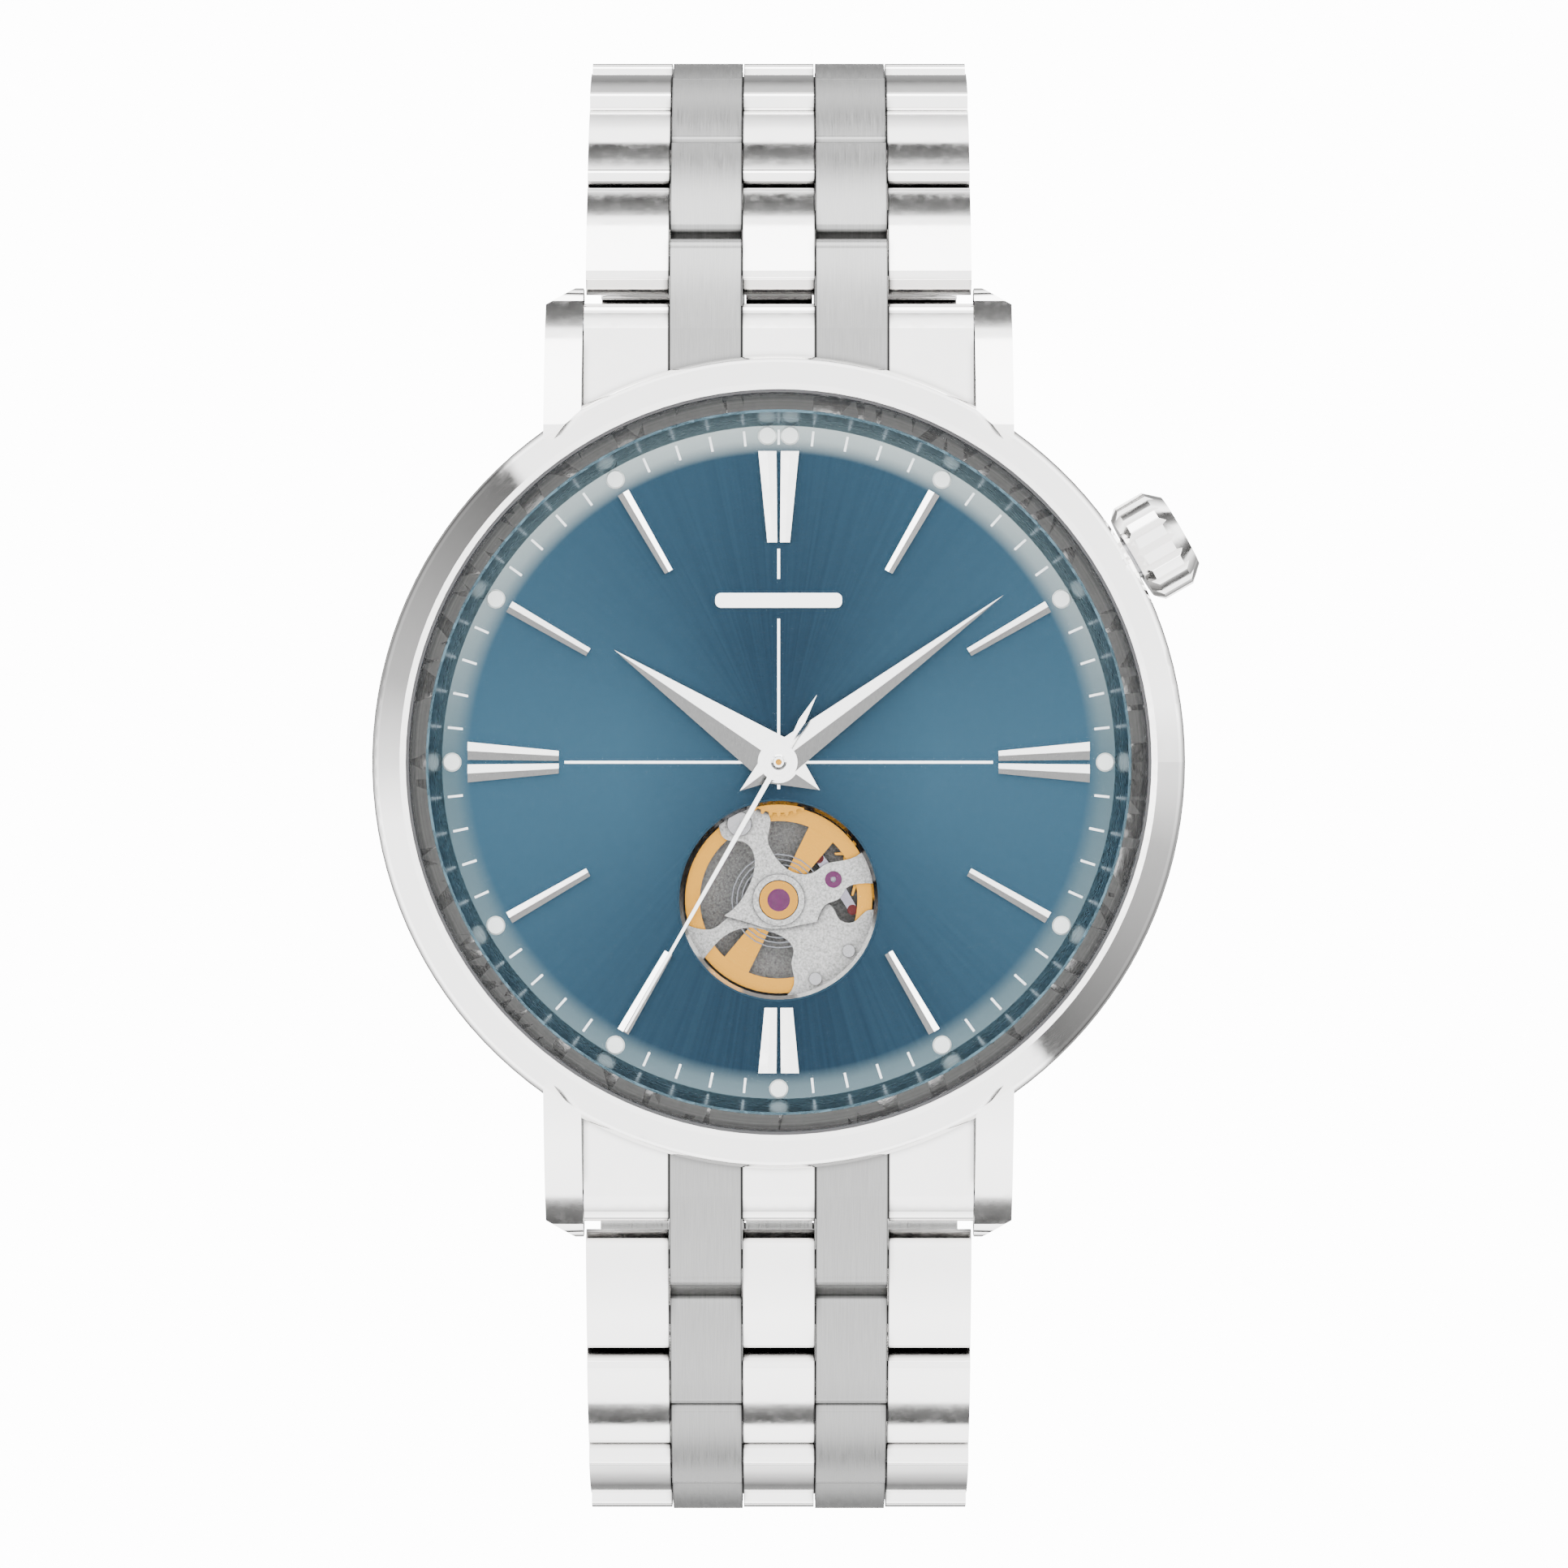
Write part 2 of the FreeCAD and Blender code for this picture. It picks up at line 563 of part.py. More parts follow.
def make_train():
    """The going train: barrel, centre, third, fourth and escape wheels, each on its own arbor."""
    barrel = moved(toothed(4.7, 72, 0.22, 0.14, 0), BARREL, 3.72).fuse(tube(4.2, 3.95, 3.38, 3.72, BARREL))
    solid("barrel", barrel.fuse(rod(0.45, 2.85, 3.8, BARREL)).removeSplitter())
    solid("mainspring", coil(0.75, 3.75, 7.0, 0.12, 0.26, BARREL, 3.42))
    centre = moved(toothed(5.67, 80, 0.22, 0.1, 0, 5), AXIS, 3.93).fuse(rod(0.62, 3.87, 4.06))
    centre = centre.fuse(moved(toothed(0.64, 10, 0.14, 0.19, 0), AXIS, 3.68))
    solid("centre_wheel", centre.cut(rod(0.3, 3, 6)).removeSplitter())
    third = moved(toothed(5.63, 75, 0.2, 0.12, 0, 5), THIRD, 3.42)
    third = third.fuse(moved(toothed(0.7, 10, 0.14, 0.24, 0), THIRD, 3.84)).fuse(rod(0.18, 2.9, 4.08, THIRD))
    solid("third_wheel", third.removeSplitter())
    fourth = moved(toothed(6.26, 63, 0.22, 0.1, 0, 4), AXIS, 4.12)
    fourth = fourth.fuse(moved(toothed(0.74, 10, 0.14, 0.24, 0), AXIS, 3.36)).fuse(rod(0.16, 2.95, 9.08))
    solid("fourth_wheel", fourth.removeSplitter())
    escape = moved(escape_teeth(1.98, 20, 0.12), ESCAPE, 4.86)
    escape = escape.fuse(moved(toothed(0.69, 7, 0.14, 0.18, 0), ESCAPE, 4.08))
    escape = escape.fuse(rod(0.13, 3.0, 6.25, ESCAPE))
    solid("escape_wheel", escape.removeSplitter())


def escape_teeth(radius, teeth, thick):
    """An escape wheel: slender raked teeth on a thin spoked rim."""
    corners = []
    for tooth in range(teeth):
        base = 360.0 * tooth / teeth
        corners += [polar(radius - 0.5, base - 4), polar(radius, base + 3.5), polar(radius - 0.06, base + 6),
                    polar(radius - 0.5, base + 3)]
    wheel = prism(corners, thick)
    return wheel.cut(spoke_openings(radius - 0.75, 0.5, 4, thick, 0.3))


def coil(inner, outer, turns, thick, height, centre, z):
    """A flat spiral band, drawn as two facing spirals."""
    steps = int(turns * 24)

    def edge(shift):
        return [polar(inner + (outer - inner) * i / steps + shift, 360.0 * turns * i / steps)
                for i in range(steps + 1)]
    points = edge(thick / 2) + edge(-thick / 2)[::-1]
    return moved(prism(points, height), centre, z)


def make_escapement():
    level, rim = DIMENSIONS["balance_level"], DIMENSIONS["balance_radius"]
    wheel = tube(rim, rim - 0.75, level, level + 0.35, BALANCE)
    for heading in (57, 237):
        root, tip = polar(0.4, heading), polar(rim - 0.6, heading)
        side = polar(1, heading + 90)
        arm = [root + side * 0.3, tip + side * 0.75, tip - side * 0.75, root - side * 0.3]
        wheel = wheel.fuse(moved(prism(arm, 0.25), BALANCE, level + 0.05))
    wheel = wheel.fuse(rod(0.6, level, level + 0.3, BALANCE)).fuse(rod(0.12, 4.42, 6.5, BALANCE))
    wheel = wheel.fuse(rod(0.36, level - 0.12, level, BALANCE))
    solid("balance_wheel", wheel.removeSplitter())
    collet = tube(0.32, 0.14, 5.62, 5.84, BALANCE)
    spring = coil(0.5, 2.5, 8.0, 0.06, 0.14, BALANCE, 5.66)
    solid("hairspring", Part.makeCompound([spring, collet]))
    arms = [Vector(*point, 0) for point in (
        (-0.95, 1.05), (-0.6, 1.3), (0.2, 0.32), (1.2, -1.45), (0.85, -1.7), (-0.05, -0.35), (-2.1, -1.0),
        (-2.2, -0.66), (-0.4, 0.15))]
    fork = moved(prism(arms, 0.12), FORK, 5.03).fuse(rod(0.12, 4.42, 5.2, FORK))
    for tip in (Vector(-0.75, 1.06, 0), Vector(0.98, -1.56, 0)):
        fork = fork.fuse(rod(0.14, 4.88, 5.15, FORK + tip)).fuse(rod(0.26, 5.03, 5.19, FORK + tip))
    solid("pallet_fork", fork.removeSplitter())


def smooth(points):
    """An open curve through its points."""
    curve = Part.BSplineCurve()
    curve.interpolate([Vector(x, y, 0) for x, y in points])
    return curve.toShape()


def plate_from(stretches, z, height):
    """A plate whose outline is a chain of smooth stretches with corners between them."""
    edges = []
    for index, stretch in enumerate(stretches):
        follow = stretches[(index + 1) % len(stretches)][0]
        edges.append(smooth(stretch + [follow]) if len(stretch) > 1
                     else Part.makeLine(Vector(*stretch[0], 0), Vector(*follow, 0)))
    face = Part.Face(Part.Wire(edges))
    return moved(face.extrude(Vector(0, 0, height)), BALANCE, z)


def make_balance_bridge():
    """The cock over the balance, on a lower plate that reaches round the window's lower edge."""
    cock = plate_from([
        [(-2.76, -0.79)], [(-1.2, -1.24), (-0.3, -1.45), (0.7, -1.35)], [(1.94, -1.11), (2.1, -0.62), (2.4, -0.22),
         (3.1, 0.1), (3.42, 0.6), (3.8, 0.78)], [(5.85, 0.75)], [(5.6, 2.1)], [(4.6, 2.75)], [(4.38, 2.5)],
        [(3.9, 2.2), (2.79, 1.92), (2.38, 1.81), (1.82, 1.42), (1.3, 1.3), (0.7, 1.42), (0.1, 1.85), (-0.42, 2.6),
         (-0.56, 3.1), (-0.42, 3.9), (-0.6, 4.6)], [(-1.15, 5.75)], [(-3.1, 5.0)],
        [(-3.0, 3.7), (-2.4, 3.0), (-1.8, 2.95), (-1.35, 2.55), (-1.2, 1.95), (-1.3, 1.25), (-1.6, 0.5),
         (-2.05, -0.2)]], 6.3, 0.4)
    plate = plate_from([
        [(-5.1, -1.0), (-4.9, -1.8), (-4.55, -2.5)], [(-4.05, -3.25), (-3.65, -2.8), (-3.05, -2.08), (-2.24, -1.55),
         (-1.5, -1.4), (-0.7, -1.52), (0.28, -1.92), (0.76, -2.57), (0.66, -3.1), (0.78, -3.9)],
        [(0.45, -4.8), (0.7, -5.14), (2.0, -4.8), (3.6, -3.75), (4.75, -2.1)],
        [(5.15, -0.7), (4.4, -0.6), (3.7, -1.15), (3.1, -1.0), (2.75, -0.4)], [(2.2, -0.2)], [(-0.9, 0.3)],
        [(-2.2, -0.75), (-2.75, -1.05), (-3.3, -1.45), (-3.8, -1.5)]], 5.95, 0.35)
    boss = tube(1.3, 1.02, 6.7, 6.82, BALANCE)
    bridge = cock.fuse(plate).fuse(boss)
    for hole, radius in ((BALANCE, 0.97), (FORK, 0.42)):
        bridge = bridge.cut(rod(radius, 5, 8, hole))
    bridge = bridge.cut(rod(0.35, 4.5, 8, COCK_SCREW)).cut(rod(0.62, 6.5, 8, COCK_SCREW))
    for hole in (STEADY_PIN, SMALL_SCREW):
        bridge = bridge.cut(rod(0.31, 5, 8, hole))
    solid("balance_bridge", bridge.removeSplitter())


COCK_SCREW = BALANCE + Vector(-1.99, 3.85, 0)
STEADY_PIN = BALANCE + Vector(1.86, -4.0, 0)
SMALL_SCREW = BALANCE + Vector(3.55, -2.58, 0)


def make_plates():
    radius, top = DIMENSIONS["plate_radius"], DIMENSIONS["plate_top"]
    floor, recess = DIMENSIONS["plate_floor"], DIMENSIONS["recess_floor"]
    low, high = DIMENSIONS["train_bridge_floor"], DIMENSIONS["train_bridge_top"]
    main = rod(radius, floor, top).fuse(tube(radius, 12.2, high, floor))
    main = main.cut(rod(4.9, recess, 8, BALANCE)).cut(rod(5.3, 5.95, 8, BALANCE))
    main = main.cut(rod(2.75, recess, 8, ESCAPE))
    main = main.cut(rod(0.55, 4, 8)).cut(rod(0.35, 4, 8, ESCAPE)).cut(rod(0.3, 4, 8, FORK))
    main = main.cut(rod(0.3, 4, 8, BALANCE))
    slot = Part.makeBox(4, 2.4, 4, Vector(12.2 - 2.4, -1.2, 3.3))
    slot.rotate(AXIS, Vector(0, 0, 1), DIMENSIONS["stem_angle"])
    main = main.cut(slot).fuse(rod(0.2, top - 0.5, 6.9, MINUTE_WHEEL))
    solid("mainplate", main.removeSplitter())
    bridge = rod(radius, low, high)
    for hole, radius in ((AXIS, 0.45), (ESCAPE, 0.45), (THIRD, 0.45), (BARREL, 0.6)):
        bridge = bridge.cut(rod(radius, 2, 4, hole))
    for screw in BRIDGE_SCREWS:
        bridge = bridge.cut(rod(0.75, 2, 3.0, screw)).cut(rod(0.4, 2, 4, screw))
    groove = Part.makeBox(30, 0.35, 0.3, Vector(-15, -0.175, 2.6))
    groove.rotate(AXIS, Vector(0, 0, 1), 24)
    groove.translate(Vector(0, -2.6, 0))
    solid("train_bridge", bridge.cut(groove).removeSplitter())


BRIDGE_SCREWS = [polar(11.0, heading) for heading in (70, 150, 215, 275, 345)]


def jewel(centre, outer, inner, bottom, top):
    return tube(outer, inner, bottom, top, centre)


def make_jewels():
    stones = [rod(0.57, 6.53, 6.8, BALANCE), jewel(FORK, 0.42, 0.14, 6.3, 6.72)]
    stones += [jewel(place_, 0.45, hole, 2.8, 3.22) for place_, hole in
               ((Vector(0, 0, 0), 0.18), (ESCAPE, 0.15), (THIRD, 0.2))]
    stones += [jewel(BALANCE, 0.3, 0.14, 4.32, 4.68), jewel(FORK, 0.3, 0.14, 4.32, 4.68),
               jewel(ESCAPE, 0.35, 0.15, 4.32, 4.68)]
    stones.append(tube(0.97, 0.57, 6.52, 6.78, BALANCE).fuse(tube(0.97, 0.14, 6.32, 6.52, BALANCE)))
    solid("jewels", Part.makeCompound(stones))


def make_screws():
    """Slotted screws: the cock's, its small one, the steady pin and the train bridge's."""
    def screw(centre, head, shank, top, height, length, up=1):
        body = rod(head, min(top, top - up * height), max(top, top - up * height), centre)
        low, high = sorted((top - up * height, top - up * (height + length)))
        body = body.fuse(rod(shank, low, high, centre))
        slot = Part.makeBox(head * 2.4, head * 0.28, height * 0.9,
                            Vector(-head * 1.2, -head * 0.14, top - height * 0.45))
        slot.rotate(Vector(0, 0, 0), Vector(0, 0, 1), 35)
        slot.translate(Vector(centre.x, centre.y, 0))
        return body.cut(slot)
    pieces = [screw(COCK_SCREW, 0.6, 0.33, 6.85, 0.33, 0.2), screw(SMALL_SCREW, 0.31, 0.2, 6.42, 0.15, 0.25),
              rod(0.31, 6.0, 6.42, STEADY_PIN)]
    pieces += [screw(place_, 0.72, 0.38, 2.72, 0.26, 0.25, -1) for place_ in BRIDGE_SCREWS]
    solid("movement_screws", Part.makeCompound(pieces))


def make_motion_work():
    """Cannon pinion, minute wheel and hour wheel, under the dial."""
    cannon = moved(toothed(0.85, 12, 0.16, 0.18, 0), Vector(0, 0, 0), 6.55)
    cannon = cannon.fuse(rod(0.46, 4.45, DIMENSIONS["minute_level"] + 0.3)).cut(rod(0.2, 4, 10))
    solid("cannon_pinion", cannon.removeSplitter())
    wheel = moved(toothed(2.57, 36, 0.18, 0.14, 0.24, 4), MINUTE_WHEEL, 6.56)
    pinion = moved(toothed(0.68, 10, 0.14, 0.2, 0.0), MINUTE_WHEEL, 6.7).cut(rod(0.24, 6, 8, MINUTE_WHEEL))
    solid("minute_wheel", wheel.fuse(pinion).removeSplitter())
    hour = moved(toothed(2.74, 40, 0.18, 0.16, 0), Vector(0, 0, 0), 6.76)
    hour = hour.fuse(rod(0.78, 6.76, DIMENSIONS["hour_level"] + 0.3)).cut(rod(0.49, 6, 10))
    solid("hour_wheel", hour.removeSplitter())


def make_rotor():
    floor, radius = DIMENSIONS["rotor_floor"], DIMENSIONS["rotor_radius"]
    half = Part.makeBox(40, 20, 4, Vector(-20, 0.0, 0))
    web = tube(radius, 1.7, floor, floor + 0.22).common(half)
    weight = tube(radius, radius - 1.9, floor, floor + 0.55).common(half)
    hub = tube(2.6, 1.7, floor, floor + 0.5)
    windows = tube(radius - 3.0, 4.2, 1, 4).common(half)
    for heading in (0, 60, 120, 180):
        bar = Part.makeBox(14, 1.5, 4, Vector(0, -0.75, 0))
        bar.rotate(Vector(0, 0, 0), Vector(0, 0, 1), heading)
        windows = windows.cut(bar)
    solid("rotor", web.cut(windows).fuse(weight).fuse(hub).removeSplitter())
    race = tube(1.6, 0.9, floor, floor + 0.75).fuse(rod(0.9, floor + 0.1, floor + 0.75))
    race = race.cut(rod(0.5, floor + 0.55, floor + 1))
    solid("rotor_bearing", race.removeSplitter())


# ---------------------------------------------------------------- bracelet
def link_outline(start, end):
    """Side view of a bracelet piece: crowned top with eased ends, deeply rounded underneath."""
    half, ease = S.link_thick / 2, 0.4
    shoulder = half - S.link_crown
    crown_radius = dome_radius((end - start) / 2 - ease, S.link_crown)
    return [(start + half, -half, half, 1), (end - half, -half), (end, 0, half, 1), (end, shoulder - ease),
            (end - ease, shoulder, ease, 1), (start + ease, shoulder, crown_radius, 1),
            (start, shoulder - ease, ease, 1), (start, 0)]


def column(body, corners, low, high, holes=()):
    """One column of a link, from x = low to x = high, with its pin holes."""
    extrude(body, high - low, [corners], [(u, w, S.pin_radius + S.gap) for u, w in holes],
            plane="YZ_Plane", base=low)


def pins_for(body, places, half_length):
    pins = [(u, w, S.pin_radius) for u, w in places]
    extrude(body, half_length * 2, circles=pins, plane="YZ_Plane", middle=True)


def make_link(label, placement, square_end=False):
    """A link: three polished pieces and two brushed ones half a pitch on, held on two pins."""
    body = make_body(label, placement)
    pitch, gap = S.pitch, S.link_gap
    polished = link_outline(pitch * -0.25 + gap, pitch * 0.75 - gap)
    outer = link_outline(pitch * -0.25 + gap, pitch * (1.25 if square_end else 0.75) - gap)
    brushed = link_outline(pitch * 0.25 + gap, pitch * 1.25 - gap)
    hinge, fixed, onward = (0, 0), (pitch * 0.5, 0), (pitch, 0)
    outer_holes = [hinge, fixed] + ([onward] if square_end else [])
    inner_edge, outer_edge = S.centre_half + S.column_gap, S.brushed_half
    column(body, polished, -S.centre_half, S.centre_half, [hinge, fixed])
    column(body, outer, outer_edge + S.column_gap, S.band_half, outer_holes)
    column(body, outer, -S.band_half, -outer_edge - S.column_gap, outer_holes)
    column(body, brushed, inner_edge, outer_edge, [fixed, onward])
    column(body, brushed, -outer_edge, -inner_edge, [fixed, onward])
    pins_for(body, [fixed, onward], S.band_half - 0.25)
    return body


def chain_places(headings, side):
    """Where each link stands down one side of the loop, and the pin after the last one."""
    y, z, places = DIMENSIONS["first_y"], DIMENSIONS["first_z"], []
    for heading in headings:
        places.append(strap_frame(side * y, z, heading, side))
        y += DIMENSIONS["pitch"] * math.cos(math.radians(heading))
        z -= DIMENSIONS["pitch"] * math.sin(math.radians(heading))
    return places, (side * y, z)


def strap_frame(y, z, heading, side):
    """A frame whose y axis runs down the strap and whose z axis points out of the loop."""
    turn = Rotation(Vector(1, 0, 0), -side * heading)
    if side < 0:
        turn = turn * Rotation(Vector(0, 0, 1), 180)
    return Placement(Vector(0, y, z), turn)


def make_bracelet():
    ends = {}
    for name, headings, side in (("upper", UPPER_HEADINGS, 1), ("lower", LOWER_HEADINGS, -1)):
        places, ends[name] = chain_places(headings, side)
        for number, spot in enumerate(places, start=1):
            last_upper = name == "upper" and number == len(places)
            make_link(f"{name}_link_{number}", STAND * spot, square_end=last_upper)
        make_end_link(f"end_link_{name}", side)
    return ends


def make_end_link(label, side):
    """The piece between two lugs: it holds the spring bar and carries the bracelet's first pin."""
    spin = Placement() if side > 0 else Placement(Vector(0, 0, 0), Rotation(Vector(0, 0, 1), 180))
    body = make_body(label, STAND * spin)
    y, z, width = S.first_y, S.first_z, S.lug_inside - 0.08
    start, end_long, end_short = 17.5, y + 1.35, y - S.pitch * 0.25 - 0.35
    long_side = [(start, 6.4), (start, 2.2), (y - 0.6, 1.9), (end_long, z - 0.3, 1.9, 1), (end_long, z + 0.55),
                 (end_long - 0.5, z + 1.15, 0.6, 1), (22.0, 6.2, 14, 1)]
    short_side = [(start, 6.4), (start, 2.2), (end_short - 1.0, 2.0), (end_short, 3.0, 1.1, 1),
                  (end_short, 4.9), (end_short - 0.5, 5.45, 0.6, 1), (22.0, 6.2, 14, 1)]
    holes = [(y, z, S.pin_radius + S.gap), (S.bar_reach, S.bar_height, 0.8)]
    inner_edge, outer_edge = S.centre_half + S.column_gap, S.brushed_half
    for low, high, corners, bored in ((-S.centre_half, S.centre_half, short_side, holes[1:]),
                                      (outer_edge + S.column_gap, width, short_side, holes[1:]),
                                      (-width, -outer_edge - S.column_gap, short_side, holes[1:]),
                                      (inner_edge, outer_edge, long_side, holes),
                                      (-outer_edge, -inner_edge, long_side, holes)):
        extrude(body, high - low, [corners], bored, plane="YZ_Plane", base=low)
    core = [(19.5, 5.4), (19.5, 2.4), (23.2, 2.4), (23.2, 4.9)]
    extrude(body, width * 2 - 0.3, [core], holes[1:], plane="YZ_Plane", middle=True)
    revolve(body, [(0, -2), (S.case_radius + 0.08, -2), (S.case_radius + 0.08, 12), (0, 12)], cut=True)
    pins_for(body, [(y, z)], S.band_half - 0.25)
    return body


def make_spring_bars():
    """Telescopic bars: a sleeve inside the end link and two fine tips in the lugs."""
    bars = []
    for side in (1, -1):
        sleeve = cylinder(0.75, 19.2, -9.6, side * S.bar_reach, S.bar_height, Rotation(Vector(0, 1, 0), 90))
        tip = cylinder(0.42, 21.2, -10.6, side * S.bar_reach, S.bar_height, Rotation(Vector(0, 1, 0), 90))
        bars.append(fuse("Bar", [sleeve, tip], None))
    group("spring_bars", bars)


# ---------------------------------------------------------------- clasp
def make_clasp(ends):
    """A three-fold clasp between the last lower link and the last upper link."""
    (y1, z1), (y2, z2) = ends["lower"], ends["upper"]
    chord = math.hypot(y2 - y1, z2 - z1)
    slope = math.degrees(math.atan2(z2 - z1, y2 - y1))
    frame = STAND * Placement(Vector(0, y1, z1), Rotation(Vector(1, 0, 0), slope)
                              * Rotation(Vector(0, 1, 0), 180))
    bow = DIMENSIONS["clasp_bow"]
    bend = chord / 2 / math.sin(math.radians(bow))

    def at(distance, lift):
        """A point on the clasp's arc: distance from the first pin along it, lift outwards."""
        angle = math.radians(-bow) + distance / bend
        return (chord / 2 + (bend + lift) * math.sin(angle),
                (bend + lift) * math.cos(angle) - bend * math.cos(math.radians(bow)))

    def band(start, end, low, high):
        """The side view of a curved plate between two distances and two lifts."""
        return [at(start, low), (*at(end, low), bend + low, -1),
                at(end, high), (*at(start, high), bend + high, 1)]

    length = 2 * math.radians(bow) * bend
    fold, joint_in, far = length - 2.7, 3.9, length
    fold_pin, joint_pin = at(fold, 0.15), at(joint_in, -0.45)
    print("clasp: chord", round(chord, 3), "slope", round(slope, 3), "bend", round(bend, 3))
    print("clasp pins (along, out):", at(0, 0), fold_pin, joint_pin, at(far, 0))

    def layer(body, corners, low, high):
        extrude(body, high - low, [corners], plane="YZ_Plane", base=low)

    def barrel(body, centre, radius, low, high):
        extrude(body, high - low, circles=[(*centre, radius)], plane="YZ_Plane", base=low)

    def drill(body, centre, radius):
        extrude(body, 24, circles=[(*centre, radius)], plane="YZ_Plane", middle=True, cut=True)

    def rectangle(half_length, low, high):
        top = bend - bend * math.cos(math.radians(bow))
        return [(chord / 2 - half_length, top + low), (chord / 2 + half_length, top + low),
                (chord / 2 + half_length, top + high), (chord / 2 - half_length, top + high)]

    edge, brushed, centre = DIMENSIONS["band_half"], DIMENSIONS["brushed_half"], DIMENSIONS["centre_half"]
    cover = make_body("clasp_cover", frame)
    layer(cover, band(1.75, fold - 0.95, 0.45, 1.3), -edge, edge)
    for low, high in ((-centre, centre), (brushed + 0.07, edge), (-edge, -brushed - 0.07)):
        layer(cover, band(0, 2.4, 0, 1.3), low, high)
        barrel(cover, at(0, 0), 1.3, low, high)
    for side in (1, -1):
        for low, high, corners in ((5.2, edge, band(fold - 1.2, fold + 0.6, 0.45, 1.3)),
                                   (edge - 0.9, edge, band(1.75, fold + 0.6, -1.25, 1.3))):
            layer(cover, corners, *sorted((side * low, side * high)))
        barrel(cover, fold_pin, 0.6, *sorted((side * 5.2, side * 8.95)))
    drill(cover, at(0, 0), 0.53)
    drill(cover, fold_pin, 0.37)
    window = rectangle(S.button_length / 2 + 0.05, -0.8, 0.25)
    extrude(cover, 24, [window], plane="YZ_Plane", middle=True, cut=True)
    extrude(cover, edge * 2 - 0.6, circles=[(*fold_pin, 0.35)], plane="YZ_Plane", middle=True)

    outer = make_body("clasp_outer_blade", frame)
    layer(outer, band(joint_in + 1.0, fold, -0.3, 0.3), -5, 5)
    layer(outer, band(joint_in, joint_in + 1.2, -0.45, 0.3), -2, 2)
    barrel(outer, joint_pin, 0.8, -2, 2)
    barrel(outer, fold_pin, 0.6, -5, 5)
    drill(outer, joint_pin, 0.37)
    drill(outer, fold_pin, 0.37)

    inner = make_body("clasp_inner_blade", frame)
    layer(inner, band(joint_in + 1.0, fold - 1.0, -1.3, -0.55), -5, 5)
    layer(inner, band(fold - 1.2, far, -1.3, -0.55), -1.75, 1.75)
    for side in (1, -1):
        low, high = sorted((side * 2.1, side * 5))
        layer(inner, band(joint_in, joint_in + 1.2, -1.25, -0.55), low, high)
        barrel(inner, joint_pin, 0.8, low, high)
    barrel(inner, at(far, 0), 1.0, -1.75, 1.75)
    drill(inner, joint_pin, 0.37)
    drill(inner, at(far, 0), 0.6)
    extrude(inner, 9.8, circles=[(*joint_pin, 0.35)], plane="YZ_Plane", middle=True)

    for name, side in (("right", -1), ("left", 1)):
        button = make_body(f"clasp_button_{name}", frame)
        low, high = sorted((side * 7.4, side * 10.2))
        layer(button, rectangle(S.button_length / 2, -0.75, 0.2), low, high)
        low, high = sorted((side * 8.15, side * 8.65))
        layer(button, rectangle(S.button_length / 2 + 0.5, -0.85, 0.3), low, high)


# ---------------------------------------------------------------- make everything
def export_all():
    """Recomputes, checks every object and writes each piece to its own file."""
    doc.recompute()
    bad = [thing.Name for thing in doc.Objects if {"Invalid", "Error"} & set(thing.State)]
    if bad:
        raise SystemExit(f"failed objects: {bad}")
    for thing in NODES:
        if thing.Shape.isNull() or not thing.Shape.isValid():
            raise SystemExit(f"{thing.Label} has no valid shape")
        thing.Shape.exportStep(f"parts/{thing.Label}.step")
    print(len(NODES), "pieces written")


make_case()
make_crown_side()
make_glass()
make_back()
make_dial()
make_markers()
make_hands()
make_plates()
make_train()
make_escapement()
make_balance_bridge()
make_jewels()
make_screws()
make_motion_work()
make_rotor()
make_spring_bars()
make_clasp(make_bracelet())
export_all()
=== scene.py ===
"""Looks for the open-heart wristwatch: materials, dial printing, camera and light."""
import json
import math

import bpy
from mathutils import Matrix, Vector


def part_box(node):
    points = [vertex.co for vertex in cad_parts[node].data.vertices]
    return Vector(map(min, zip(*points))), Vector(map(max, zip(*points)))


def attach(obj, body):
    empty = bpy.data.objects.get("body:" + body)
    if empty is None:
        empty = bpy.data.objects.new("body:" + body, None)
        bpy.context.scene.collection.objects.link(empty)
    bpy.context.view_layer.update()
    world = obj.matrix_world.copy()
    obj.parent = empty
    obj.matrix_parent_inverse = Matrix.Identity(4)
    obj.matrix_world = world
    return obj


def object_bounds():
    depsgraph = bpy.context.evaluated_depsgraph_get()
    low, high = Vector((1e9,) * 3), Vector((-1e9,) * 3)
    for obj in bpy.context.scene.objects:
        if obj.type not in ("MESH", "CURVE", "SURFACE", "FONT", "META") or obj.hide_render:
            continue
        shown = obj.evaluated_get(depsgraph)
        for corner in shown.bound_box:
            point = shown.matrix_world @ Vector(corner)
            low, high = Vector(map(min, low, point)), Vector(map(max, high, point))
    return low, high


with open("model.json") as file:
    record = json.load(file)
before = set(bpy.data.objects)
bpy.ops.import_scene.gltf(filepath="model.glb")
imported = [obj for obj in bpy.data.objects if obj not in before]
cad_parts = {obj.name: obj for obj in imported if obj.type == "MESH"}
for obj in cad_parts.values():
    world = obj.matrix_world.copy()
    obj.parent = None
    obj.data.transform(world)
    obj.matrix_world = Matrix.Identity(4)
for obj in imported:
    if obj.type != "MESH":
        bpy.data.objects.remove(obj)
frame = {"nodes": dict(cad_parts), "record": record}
CAD_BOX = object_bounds()
NODES = frame["nodes"]
MM = 0.001

